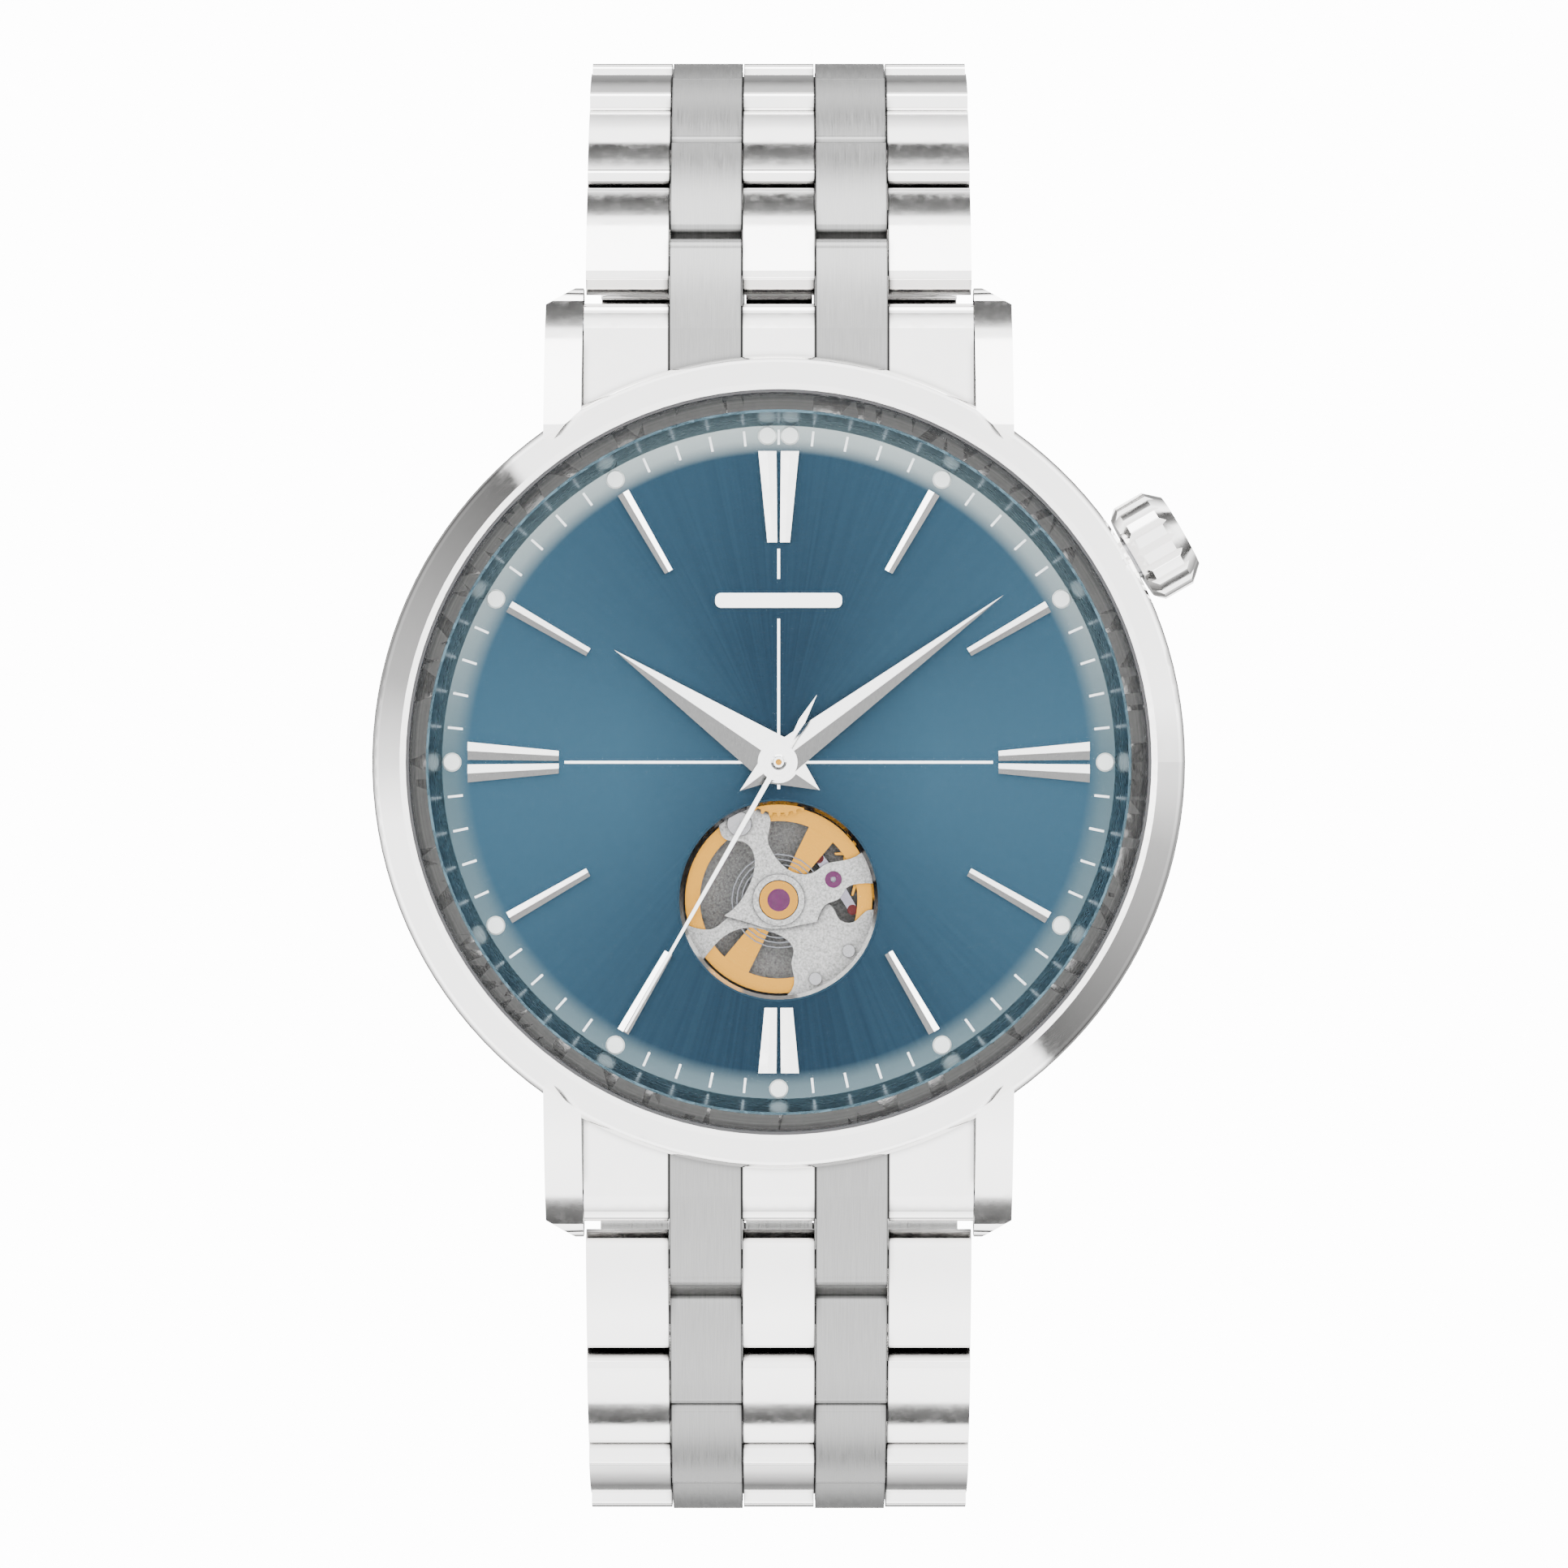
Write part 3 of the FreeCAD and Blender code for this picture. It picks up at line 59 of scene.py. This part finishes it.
# Places on the watch in mm, as x and z from the hands' axis unless a comment says otherwise.
BALANCE_AXIS = (0, -6.97)
FORK_STONES = ((2.02, -4.87), (3.75, -7.49))
STONE_RADIUS = 0.265
JEWEL_RADIUS, SETTING_RADIUS = 0.572, 0.99
COLUMN_SEAMS = (1.865, 5.565)                  # to each side of the middle of a link
GLASS_SEAT_RADIUS, GLASS_SEAT_FRONT = 18.62, -7.6      # the second is a y
TICK_RADIUS, TICK_HALF_WIDTH, TICK_HALF_LENGTH = 16.42, 0.06, 0.38
LINE_HALF_WIDTH = 0.07
PRINT_STANDS_OUT, PRINT_THICKNESS = 0.01, 0.02


# ---------------------------------------------------------------- node graphs
class Graph:
    """A material's nodes. Lengths are in mm in the part's own axes: x to 3 o'clock, z to 12 o'clock."""

    def __init__(self, name, **values):
        self.material = bpy.data.materials.new(name)
        self.material.use_nodes = True
        self.tree = self.material.node_tree
        self.shader = self.tree.nodes["Principled BSDF"]
        for socket, value in values.items():
            self.shader.inputs[socket.replace("_", " ")].default_value = value
        coordinates = self.add("ShaderNodeTexCoord").outputs
        place = coordinates["Object"]
        scale = self.add("ShaderNodeVectorMath", operation="SCALE")
        self.link(place, scale.inputs[0])
        scale.inputs["Scale"].default_value = 1 / MM
        self.place = scale.outputs[0]
        split = self.add("ShaderNodeSeparateXYZ")
        self.link(self.place, split.inputs[0])
        self.x, self.y, self.z = split.outputs
        facing = self.add("ShaderNodeSeparateXYZ")
        self.link(coordinates["Normal"], facing.inputs[0])
        self.upward, self.outward = facing.outputs[2], facing.outputs[1]

    def add(self, kind, **settings):
        node = self.tree.nodes.new(kind)
        for key, value in settings.items():
            setattr(node, key, value)
        return node

    def link(self, source, target):
        self.tree.links.new(source, target)

    def feed(self, target, value):
        if isinstance(value, bpy.types.NodeSocket):
            self.link(value, target)
        else:
            target.default_value = value

    def math(self, operation, *values):
        node = self.add("ShaderNodeMath", operation=operation)
        for target, value in zip(node.inputs, values):
            self.feed(target, value)
        return node.outputs[0]

    def join(self, x, y, z):
        node = self.add("ShaderNodeCombineXYZ")
        for target, value in zip(node.inputs, (x, y, z)):
            self.feed(target, value)
        return node.outputs[0]

    def radius(self, x=0.0, z=0.0):
        """Distance from an axis that runs front to back through (x, z)."""
        across, up = self.math("SUBTRACT", self.x, x), self.math("SUBTRACT", self.z, z)
        return self.math("SQRT", self.math("ADD", self.math("MULTIPLY", across, across),
                                           self.math("MULTIPLY", up, up)))

    def noise(self, vector, scale, detail=2.0, roughness=0.5):
        node = self.add("ShaderNodeTexNoise")
        self.link(vector, node.inputs["Vector"])
        node.inputs["Scale"].default_value = scale
        node.inputs["Detail"].default_value = detail
        node.inputs["Roughness"].default_value = roughness
        return node.outputs["Fac"]

    def stretched(self, along_x, along_y, along_z):
        return self.join(self.math("MULTIPLY", self.x, along_x), self.math("MULTIPLY", self.y, along_y),
                         self.math("MULTIPLY", self.z, along_z))

    def ramp(self, value, stops):
        node = self.add("ShaderNodeValToRGB")
        elements = node.color_ramp.elements
        while len(elements) < len(stops):
            elements.new(0.5)
        for element, (position, colour) in zip(elements, stops):
            element.position, element.color = position, (*colour, 1)
        self.feed(node.inputs[0], value)
        return node.outputs[0]

    def spread(self, value, low, high, to_low=0.0, to_high=1.0):
        node = self.add("ShaderNodeMapRange")
        for target, number in zip(node.inputs, (value, low, high, to_low, to_high)):
            self.feed(target, number)
        return node.outputs[0]

    def mix(self, factor, first, second):
        node = self.add("ShaderNodeMix", data_type="RGBA")
        self.feed(node.inputs[0], factor)
        self.feed(node.inputs[6], first if isinstance(first, bpy.types.NodeSocket) else (*first, 1))
        self.feed(node.inputs[7], second if isinstance(second, bpy.types.NodeSocket) else (*second, 1))
        return node.outputs[2]

    def bump(self, height, strength, depth_mm):
        node = self.add("ShaderNodeBump")
        node.inputs["Strength"].default_value = strength
        node.inputs["Distance"].default_value = depth_mm * MM
        self.link(height, node.inputs["Height"])
        self.link(node.outputs[0], self.shader.inputs["Normal"])

    def painted_crevice_shade(self, reach_mm, darkest):
        """Painted shade: 1 in the open, falling to darkest where a wall or a gap is close by."""
        node = self.add("ShaderNodeAmbientOcclusion", samples=8)
        node.inputs["Distance"].default_value = reach_mm * MM
        return self.spread(node.outputs["AO"], 0.35, 0.95, darkest, 1.0)

    def set(self, socket, value):
        self.feed(self.shader.inputs[socket], value)


def shaded(colour, times):
    """The colour made darker or lighter, and never past white."""
    return tuple(min(c * times, 1) for c in colour)


def polished(name, base):
    graph = Graph(name, Metallic=1.0)
    patches = graph.noise(graph.place, 0.25, 3)
    graph.set("Base Color", graph.mix(patches, shaded(base, 0.97), shaded(base, 1.03)))
    wear = graph.noise(graph.place, 1.6, 5, 0.65)
    graph.set("Roughness", graph.spread(wear, 0.35, 0.7, 0.05, 0.13))
    graph.bump(graph.noise(graph.stretched(6, 1.2, 1.2), 4, 3), 0.05, 0.004)
    return graph.material


def case_steel(name, base):
    """Polished, with the blackened seat that the glass sits on."""
    graph = Graph(name, Metallic=1.0)
    wear = graph.noise(graph.place, 1.6, 5, 0.65)
    seat = graph.math("MULTIPLY", graph.math("LESS_THAN", graph.radius(), GLASS_SEAT_RADIUS),
                      graph.math("LESS_THAN", graph.y, GLASS_SEAT_FRONT))
    bright = graph.mix(wear, shaded(base, 0.97), shaded(base, 1.03))
    rings = graph.noise(graph.join(graph.math("MULTIPLY", graph.radius(), 7), 0.0, 0.0), 1.0, 3, 0.6)
    lined = graph.mix(graph.spread(rings, 0.35, 0.65), (0.025, 0.025, 0.025), (0.085, 0.085, 0.083))
    graph.set("Base Color", graph.mix(seat, bright, lined))
    graph.set("Roughness", graph.spread(seat, 0, 1, graph.spread(wear, 0.35, 0.7, 0.06, 0.13), 0.4))
    graph.bump(graph.noise(graph.place, 2.5, 3), 0.02, 0.002)
    return graph.material


def brushed(name, base):
    """Fine lines along the part, from noise drawn out in one direction."""
    graph = Graph(name, Metallic=1.0, Anisotropic=0.55)
    lines = graph.noise(graph.stretched(26, 0.5, 0.5), 1.0, 6, 0.7)
    graph.set("Base Color", graph.mix(lines, shaded(base, 0.82), shaded(base, 1.1)))
    graph.set("Roughness", graph.spread(lines, 0.3, 0.7, 0.24, 0.40))
    graph.bump(lines, 0.35, 0.012)
    return graph.material


def link_steel(name):
    """Brushed on the two columns between the polished ones, with painted shade in the seams and the gaps."""
    graph = Graph(name, Metallic=1.0)
    side = graph.math("ABSOLUTE", graph.x)
    column = graph.math("MULTIPLY", graph.math("GREATER_THAN", side, COLUMN_SEAMS[0]),
                        graph.math("LESS_THAN", side, COLUMN_SEAMS[1]))
    away = [graph.math("ABSOLUTE", graph.math("SUBTRACT", side, seam)) for seam in COLUMN_SEAMS]
    # Painted shade: the colour falls to near black at the column seams, and near walls and gaps.
    seam_painted_shade = graph.spread(graph.math("MINIMUM", *away), 0.03, 0.11, 0.04, 1.0)
    out_of_painted_shade = graph.math("MULTIPLY", seam_painted_shade, graph.painted_crevice_shade(0.45, 0.2))
    lines = graph.noise(graph.stretched(26, 0.5, 0.5), 1.0, 6, 0.7)
    wear = graph.noise(graph.place, 1.4, 5, 0.65)
    brushed_colour = graph.mix(lines, (0.15, 0.15, 0.15), (0.32, 0.32, 0.315))
    polished_colour = graph.mix(wear, (0.82, 0.81, 0.80), (0.90, 0.89, 0.88))
    steel = graph.mix(column, polished_colour, brushed_colour)
    graph.set("Base Color", graph.mix(out_of_painted_shade, (0.01, 0.01, 0.01), steel))
    shine = graph.spread(wear, 0.35, 0.7, 0.06, 0.14)
    matt = graph.spread(lines, 0.3, 0.7, 0.26, 0.42)
    graph.set("Roughness", graph.spread(column, 0, 1, shine, matt))
    graph.bump(graph.math("MULTIPLY", lines, column), 0.35, 0.012)
    return graph.material


def frosted(name, base):
    """Grained plates, with painted shade deep in the movement and along their edges."""
    graph = Graph(name, Metallic=1.0)
    grain = graph.noise(graph.place, 9, 6, 0.75)
    colour = graph.mix(graph.spread(grain, 0.35, 0.65), shaded(base, 0.40), shaded(base, 1.25))
    # Painted shade: darker further back in the movement and near walls and edges.
    depth = graph.spread(graph.y, -6.2, -4.6, 1.0, 0.42)
    shade = graph.math("MULTIPLY", depth, graph.painted_crevice_shade(0.3, 0.12))
    graph.set("Base Color", graph.mix(shade, (0, 0, 0), colour))
    graph.set("Roughness", graph.spread(grain, 0.3, 0.7, 0.30, 0.52))
    graph.bump(grain, 0.9, 0.04)
    return graph.material


def faceted(name):
    """Hands and markers: facets that face up are polished, those that face down are satin and painted grey
    as shade.
    """
    graph = Graph(name, Metallic=1.0)
    # Facets that face down get a satin roughness and bump, and a grey colour that is painted shade.
    satin_and_painted_shade = graph.spread(graph.upward, -0.03, -0.10)
    wear = graph.noise(graph.place, 1.6, 5, 0.65)
    lines = graph.noise(graph.stretched(30, 1, 4), 1.0, 4, 0.6)
    bright = graph.mix(wear, (0.88, 0.88, 0.87), (0.96, 0.96, 0.95))
    painted_shade_grey = graph.mix(lines, (0.09, 0.09, 0.09), (0.18, 0.18, 0.178))
    graph.set("Base Color", graph.mix(satin_and_painted_shade, bright, painted_shade_grey))
    graph.set("Roughness", graph.spread(satin_and_painted_shade, 0, 1, graph.spread(wear, 0.35, 0.7, 0.10, 0.18), 0.30))
    graph.bump(graph.math("MULTIPLY", lines, satin_and_painted_shade), 0.2, 0.006)
    return graph.material


def window_bevel(name):
    """The window's edge: its flat top lacquered like the dial, its chamfer with a painted highlight low down
    and painted shade above.
    """
    graph = Graph(name, Metallic=0.9)
    flat = graph.spread(graph.outward, -0.80, -0.90)
    wear = graph.noise(graph.place, 2.5, 4)
    # Painted light and shade: the chamfer is bright where it faces up and dark where it faces down.
    painted_bevel_light_and_shade = graph.mix(graph.spread(graph.upward, -0.15, 0.35), (0.020, 0.018, 0.017), (0.80, 0.79, 0.77))
    lacquer = graph.mix(wear, (0.006, 0.020, 0.034), (0.010, 0.028, 0.045))
    graph.set("Base Color", graph.mix(flat, painted_bevel_light_and_shade, lacquer))
    graph.set("Roughness", graph.spread(wear, 0.3, 0.7, 0.16, 0.28))
    graph.bump(wear, 0.1, 0.004)
    return graph.material


def fork_steel(name):
    """Steel with the two ruby stones at the ends of its arms."""
    graph = Graph(name, Specular_IOR_Level=0.15)
    near = [graph.math("LESS_THAN", graph.radius(x, z), STONE_RADIUS) for x, z in FORK_STONES]
    stone = graph.math("MAXIMUM", *near)
    wear = graph.noise(graph.place, 3, 4)
    steel = graph.mix(wear, (0.14, 0.13, 0.16), (0.24, 0.23, 0.27))
    graph.set("Base Color", graph.mix(stone, steel, (0.13, 0.003, 0.005)))
    graph.set("Metallic", graph.math("SUBTRACT", 1.0, stone))
    graph.set("Roughness", graph.spread(wear, 0.3, 0.7, 0.10, 0.22))
    graph.bump(wear, 0.1, 0.003)
    return graph.material


def turned(name, base, x=0.0, z=0.0):
    """Metal with the fine rings that turning leaves round an axis."""
    graph = Graph(name, Metallic=1.0)
    rings = graph.noise(graph.join(graph.math("MULTIPLY", graph.radius(x, z), 18), 0.0, 0.0), 1.0, 4, 0.6)
    graph.set("Base Color", graph.mix(rings, shaded(base, 0.85), shaded(base, 1.08)))
    graph.set("Roughness", graph.spread(rings, 0.3, 0.7, 0.16, 0.32))
    graph.bump(rings, 0.3, 0.01)
    return graph.material


def sunray_dial(name):
    """Blue lacquer over rays that run out from the middle, with a painted sheen, and a pale minute band near
    the edge painted as a reflection that is lightest towards 12 o'clock.
    """
    graph = Graph(name, Metallic=0.92, Anisotropic=0.6, Coat_Weight=0.03, Coat_Roughness=0.1)
    radius = graph.radius()
    angle = graph.math("ARCTAN2", graph.z, graph.x)
    along_rays = graph.join(graph.math("MULTIPLY", angle, 70), graph.math("MULTIPLY", radius, 0.05), 0.0)
    rays = graph.noise(along_rays, 1.0, 5, 0.7)
    # Painted sheen: lighter towards 3 and 9 o'clock and further out, and lighter towards 12 o'clock.
    sideways_painted_sheen = graph.math("POWER", graph.math("ABSOLUTE", graph.math("COSINE", angle)), 2.0)
    painted_sheen = graph.math("MULTIPLY", sideways_painted_sheen, graph.spread(radius, 0, 8, 0.3, 1.0))
    painted_sheen = graph.math("ADD", painted_sheen, graph.spread(graph.z, 6, 16, 0.0, 0.30))
    field = graph.mix(painted_sheen, (0.0028, 0.0125, 0.024), (0.0165, 0.047, 0.074))
    field = graph.mix(graph.spread(rays, 0.35, 0.65, 0, 0.14), field, (0.022, 0.055, 0.085))
    band = graph.ramp(graph.spread(radius, 15.6, 17.8), [
        (0.0, (0, 0, 0)), (0.34, (0.75, 0.75, 0.75)), (0.72, (1, 1, 1)), (0.76, (0, 0, 0))])
    # Painted reflection: the band's colour is lightest towards 12 o'clock.
    rim_painted_reflection = graph.ramp(graph.spread(graph.z, -16, 16), [
        (0.0, (0.075, 0.110, 0.125)), (0.5, (0.050, 0.082, 0.096)), (1.0, (0.24, 0.28, 0.28))])
    graph.set("Base Color", graph.mix(band, field, rim_painted_reflection))
    graph.set("Roughness", graph.spread(rays, 0.3, 0.7, 0.33, 0.40))
    tangent = graph.add("ShaderNodeTangent", direction_type="RADIAL", axis="Y")
    graph.link(tangent.outputs[0], graph.shader.inputs["Tangent"])
    graph.bump(rays, 0.05, 0.004)
    return graph.material


def jewel_and_setting(name):
    """Ruby, with a gilt ring round the balance jewel."""
    graph = Graph(name, IOR=1.76, Specular_IOR_Level=0.12)
    away = graph.radius(*BALANCE_AXIS)
    ring = graph.math("MULTIPLY", graph.math("GREATER_THAN", away, JEWEL_RADIUS),
                      graph.math("LESS_THAN", away, SETTING_RADIUS))
    depth = graph.noise(graph.place, 2.5, 3)
    ruby = graph.mix(depth, (0.030, 0.002, 0.022), (0.070, 0.005, 0.050))
    graph.set("Base Color", graph.mix(ring, ruby, (0.34, 0.16, 0.020)))
    graph.set("Metallic", ring)
    graph.set("Roughness", graph.spread(depth, 0.3, 0.7, 0.05, 0.14))
    return graph.material


def clear_glass(name):
    graph = Graph(name, Roughness=0.02, IOR=1.5, Specular_IOR_Level=0.08)
    graph.set("Base Color", (0.04, 0.05, 0.06, 1))
    facing = graph.add("ShaderNodeLayerWeight")
    facing.inputs["Blend"].default_value = 0.25
    smear = graph.noise(graph.place, 0.12, 4)
    graph.set("Alpha", graph.math("ADD", graph.spread(facing.outputs["Facing"], 0, 1, 0.01, 0.35),
                                  graph.spread(smear, 0.4, 0.8, 0.0, 0.01)))
    return graph.material


def pearl(name):
    graph = Graph(name, Subsurface_Weight=0.2, Coat_Weight=0.3)
    grain = graph.noise(graph.place, 14, 4, 0.6)
    graph.set("Base Color", graph.mix(grain, (0.74, 0.77, 0.73), (0.90, 0.92, 0.88)))
    graph.set("Roughness", graph.spread(grain, 0.3, 0.7, 0.32, 0.5))
    graph.bump(grain, 0.25, 0.008)
    return graph.material


def grained(name, base, rough=(0.5, 0.7)):
    """Rubber or moulded plastic with a fine grain."""
    graph = Graph(name)
    grain = graph.noise(graph.place, 12, 5, 0.6)
    graph.set("Base Color", graph.mix(grain, shaded(base, 0.8), shaded(base, 1.15)))
    graph.set("Roughness", graph.spread(grain, 0.3, 0.7, *rough))
    graph.bump(grain, 0.4, 0.015)
    return graph.material


def striped(name, base):
    """Broad polished stripes across fine graining, as on a finished winding weight."""
    graph = Graph(name, Metallic=1.0)
    stripe = graph.math("FRACT", graph.math("DIVIDE", graph.math("ADD", graph.x, graph.z), 2.4))
    grain = graph.noise(graph.stretched(3, 1, 14), 1.0, 4)
    graph.set("Base Color", graph.mix(grain, shaded(base, 0.85), base))
    graph.set("Roughness", graph.spread(stripe, 0, 1, 0.16, 0.40))
    graph.bump(graph.math("ADD", stripe, grain), 0.25, 0.02)
    return graph.material


STEEL, SILVER, GILT = (0.86, 0.85, 0.84), (0.34, 0.34, 0.335), (0.40, 0.19, 0.022)
LOOKS = {
    "polished_steel": polished("polished_steel_look", STEEL),
    "brushed_steel": brushed("brushed_steel_look", (0.36, 0.36, 0.355)),
    "facet_steel": faceted("facet_steel_look"),
    "sapphire": clear_glass("sapphire_look"),
    "black_rubber": grained("black_rubber_look", (0.02, 0.02, 0.022)),
    "blue_dial": sunray_dial("blue_dial_look"),
    "pearl_lume": pearl("pearl_lume_look"),
    "holder_plastic": grained("holder_plastic_look", (0.60, 0.60, 0.57)),
    "frosted_nickel": frosted("frosted_nickel_look", SILVER),
    "gilt_brass": turned("gilt_brass_look", GILT),
    "ruby": jewel_and_setting("ruby_look"),
    "movement_steel": turned("movement_steel_look", (0.26, 0.26, 0.27)),
    "rotor_weight": striped("rotor_weight_look", (0.50, 0.50, 0.49)),
}
SPECIAL = {
    "rehaut_ring": turned("rehaut_look", (0.065, 0.11, 0.135)),
    "window_ring": window_bevel("window_bevel_look"),
    "pallet_fork": fork_steel("fork_look"),
    "balance_wheel": turned("balance_look", GILT, *BALANCE_AXIS),
    "hairspring": turned("hairspring_look", (0.13, 0.135, 0.15), *BALANCE_AXIS),
    "case_back": turned("case_back_look", STEEL),
    "case_middle": case_steel("case_look", STEEL),
}
LINKS = link_steel("link_look")
for part in frame["record"]["subparts"]:
    node = part["node"]
    look = SPECIAL.get(node, LOOKS[part["material_slot"]])
    if node.startswith(("upper_link", "lower_link", "end_link")):
        look = LINKS
    for place in NODES[node].material_slots:
        place.material = look


# ---------------------------------------------------------------- printing on the dial
def bars(name, boxes, material):
    """Thin printed bars on the dial, each (middle x, middle z, half width, half length, turn)."""
    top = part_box("dial")[0][1] - PRINT_STANDS_OUT * MM
    vertices, faces = [], []
    for x, z, half_width, half_length, turn in boxes:
        first = len(vertices)
        cosine, sine = math.cos(turn), math.sin(turn)
        for y in (top, top + PRINT_THICKNESS * MM):
            for across, along in ((-1, -1), (1, -1), (1, 1), (-1, 1)):
                a, b = across * half_width, along * half_length
                vertices.append(((x + a * cosine + b * sine) * MM, y, (z - a * sine + b * cosine) * MM))
        faces += [[first + i for i in face] for face in (
            (0, 1, 2, 3), (7, 6, 5, 4), (0, 4, 5, 1), (1, 5, 6, 2), (2, 6, 7, 3), (3, 7, 4, 0))]
    mesh = bpy.data.meshes.new(name)
    mesh.from_pydata(vertices, [], faces)
    mesh.materials.append(material)
    piece = bpy.data.objects.new(name, mesh)
    bpy.context.scene.collection.objects.link(piece)
    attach(piece, "case")


ink = grained("white_ink_look", (0.80, 0.83, 0.84), (0.35, 0.5))
ticks = []
for minute in range(60):
    turn = math.radians(6 * minute)
    ticks.append((TICK_RADIUS * math.sin(turn), TICK_RADIUS * math.cos(turn),
                  TICK_HALF_WIDTH, TICK_HALF_LENGTH, turn))
bars("minute_ticks", ticks, ink)
level = math.radians(90)
lines = [(x, 0, LINE_HALF_WIDTH, 4.95, level) for x in (-5.87, 5.87)]
lines += [(0, z, LINE_HALF_WIDTH, half_length, 0)
          for z, half_length in ((4.08, 3.17), (-1.13, 0.22), (10.02, 0.76))]
bars("dial_lines", lines, LOOKS["facet_steel"])


# ---------------------------------------------------------------- stage, light and camera
# The floor is far enough down for the open bracelet to hang clear of it. These three are in metres.
HANGING_ROOM = 0.30
FLOOR_HEIGHT = CAD_BOX[0][2] - HANGING_ROOM
FLOOR_REACH = 3.0
PALE = 14.0
paper = Graph("paper", Roughness=0.9)
paper.set("Base Color", (0.95, 0.95, 0.95, 1))
paper.set("Emission Color", (1, 1, 1, 1))
paper.set("Emission Strength", PALE)
corners = [(x * FLOOR_REACH, y * FLOOR_REACH, FLOOR_HEIGHT) for x, y in ((-1, -1), (1, -1), (1, 1), (-1, 1))]
floor_mesh = bpy.data.meshes.new("floor")
floor_mesh.from_pydata(corners, [], [(0, 1, 2, 3)])
floor_mesh.materials.append(paper.material)
floor = bpy.data.objects.new("floor", floor_mesh)
bpy.context.scene.collection.objects.link(floor)
floor.visible_glossy = False
floor.visible_diffuse = False


def lamp(name, place, target, size, power):
    data = bpy.data.lights.new(name, "AREA")
    data.shape, data.size, data.size_y, data.energy = "RECTANGLE", size[0], size[1], power
    light = bpy.data.objects.new(name, data)
    bpy.context.scene.collection.objects.link(light)
    light.location = place
    away = [p - t for p, t in zip(place, target)]
    light.rotation_mode = "QUATERNION"
    light.rotation_quaternion = Vector(away).to_track_quat("Z", "Y")


lamp("left_box", (-0.35, -0.30, 0.12), (0, 0, 0), (0.30, 0.45), 2.2)
lamp("right_box", (0.35, -0.30, 0.08), (0, 0, 0), (0.25, 0.45), 1.8)
lamp("top_box", (0, -0.18, 0.45), (0, 0, 0), (0.5, 0.3), 2.4)

world = bpy.data.worlds.new("studio")
bpy.context.scene.world = world
world.use_nodes = True
sky = world.node_tree


def sky_math(operation, *values):
    node = sky.nodes.new("ShaderNodeMath")
    node.operation = operation
    for target, value in zip(node.inputs, values):
        if isinstance(value, bpy.types.NodeSocket):
            sky.links.new(value, target)
        else:
            target.default_value = value
    return node.outputs[0]


def sky_ramp(value, stops):
    node = sky.nodes.new("ShaderNodeValToRGB")
    while len(node.color_ramp.elements) < len(stops):
        node.color_ramp.elements.new(0.5)
    for element, (position, tone) in zip(node.color_ramp.elements, stops):
        element.position, element.color = position, (tone, tone, tone * 0.99, 1)
    sky.links.new(value, node.inputs[0])
    return node.outputs[0]


# What the steel reflects. front runs from 0 behind the watch to 1 before its dial: dark behind, pale before,
# and a dark band between 0.36 and 0.48 for the sloping ends of the links.
split = sky.nodes.new("ShaderNodeSeparateXYZ")
sky.links.new(sky.nodes.new("ShaderNodeTexCoord").outputs["Generated"], split.inputs[0])
front = sky_math("MULTIPLY_ADD", split.outputs["Y"], -0.5, 0.5)
tone = sky_ramp(front, [
    (0.0, 0.12), (0.08, 0.06), (0.16, 0.28), (0.23, 0.62), (0.27, 0.95), (0.35, 1.0),
    (0.362, 0.015), (0.45, 0.06),
    (0.48, 0.20), (0.495, 0.92), (0.70, 1.0), (0.88, 0.84), (1.0, 0.88)])
# Two dark cards, with their sharp edges at 133 and -47 degrees round from 3 o'clock, against the clock.
CARD_SHIFT = 1.261
turn = sky_math("DIVIDE", sky_math("ARCTAN2", split.outputs["Z"], split.outputs["X"]), math.pi)
half_turn = sky_math("FRACT", sky_math("ADD", turn, CARD_SHIFT))
card = sky_ramp(half_turn, [
    (0.0, 0.045), (0.083, 0.11), (0.194, 0.22), (0.26, 0.55), (0.31, 1.0), (0.992, 1.0), (1.0, 0.045)])
reach = sky_ramp(front, [(0.10, 0.0), (0.16, 1.0), (0.60, 1.0), (0.70, 0.0)])
shade = sky_math("ADD", sky_math("MULTIPLY", reach, card), sky_math("SUBTRACT", 1.0, reach))
SKY_STRENGTH = 5.5
# The camera itself sees the floor's pale tone all round.
directly_seen = sky.nodes.new("ShaderNodeLightPath").outputs["Is Camera Ray"]
pale = sky_math("MULTIPLY", directly_seen, PALE / SKY_STRENGTH)
lit = sky_math("MAXIMUM", sky_math("MULTIPLY", tone, shade), pale)
sky.links.new(lit, sky.nodes["Background"].inputs[0])
sky.nodes["Background"].inputs[1].default_value = SKY_STRENGTH

camera_data = bpy.data.cameras.new("camera")
camera_data.lens, camera_data.sensor_width = 200, 36
camera_data.clip_start, camera_data.clip_end = 0.01, 10
camera = bpy.data.objects.new("camera", camera_data)
bpy.context.scene.collection.objects.link(camera)
FRAME_WIDTH = 79.2 * MM
CAMERA_ACROSS, CAMERA_UP = 0.27 * MM, -1.1 * MM
distance = FRAME_WIDTH * camera_data.lens / camera_data.sensor_width
camera.location = (CAMERA_ACROSS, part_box("dial")[0][1] - distance, CAMERA_UP)
camera.rotation_euler = (math.radians(90), 0, 0)
bpy.context.scene.camera = camera
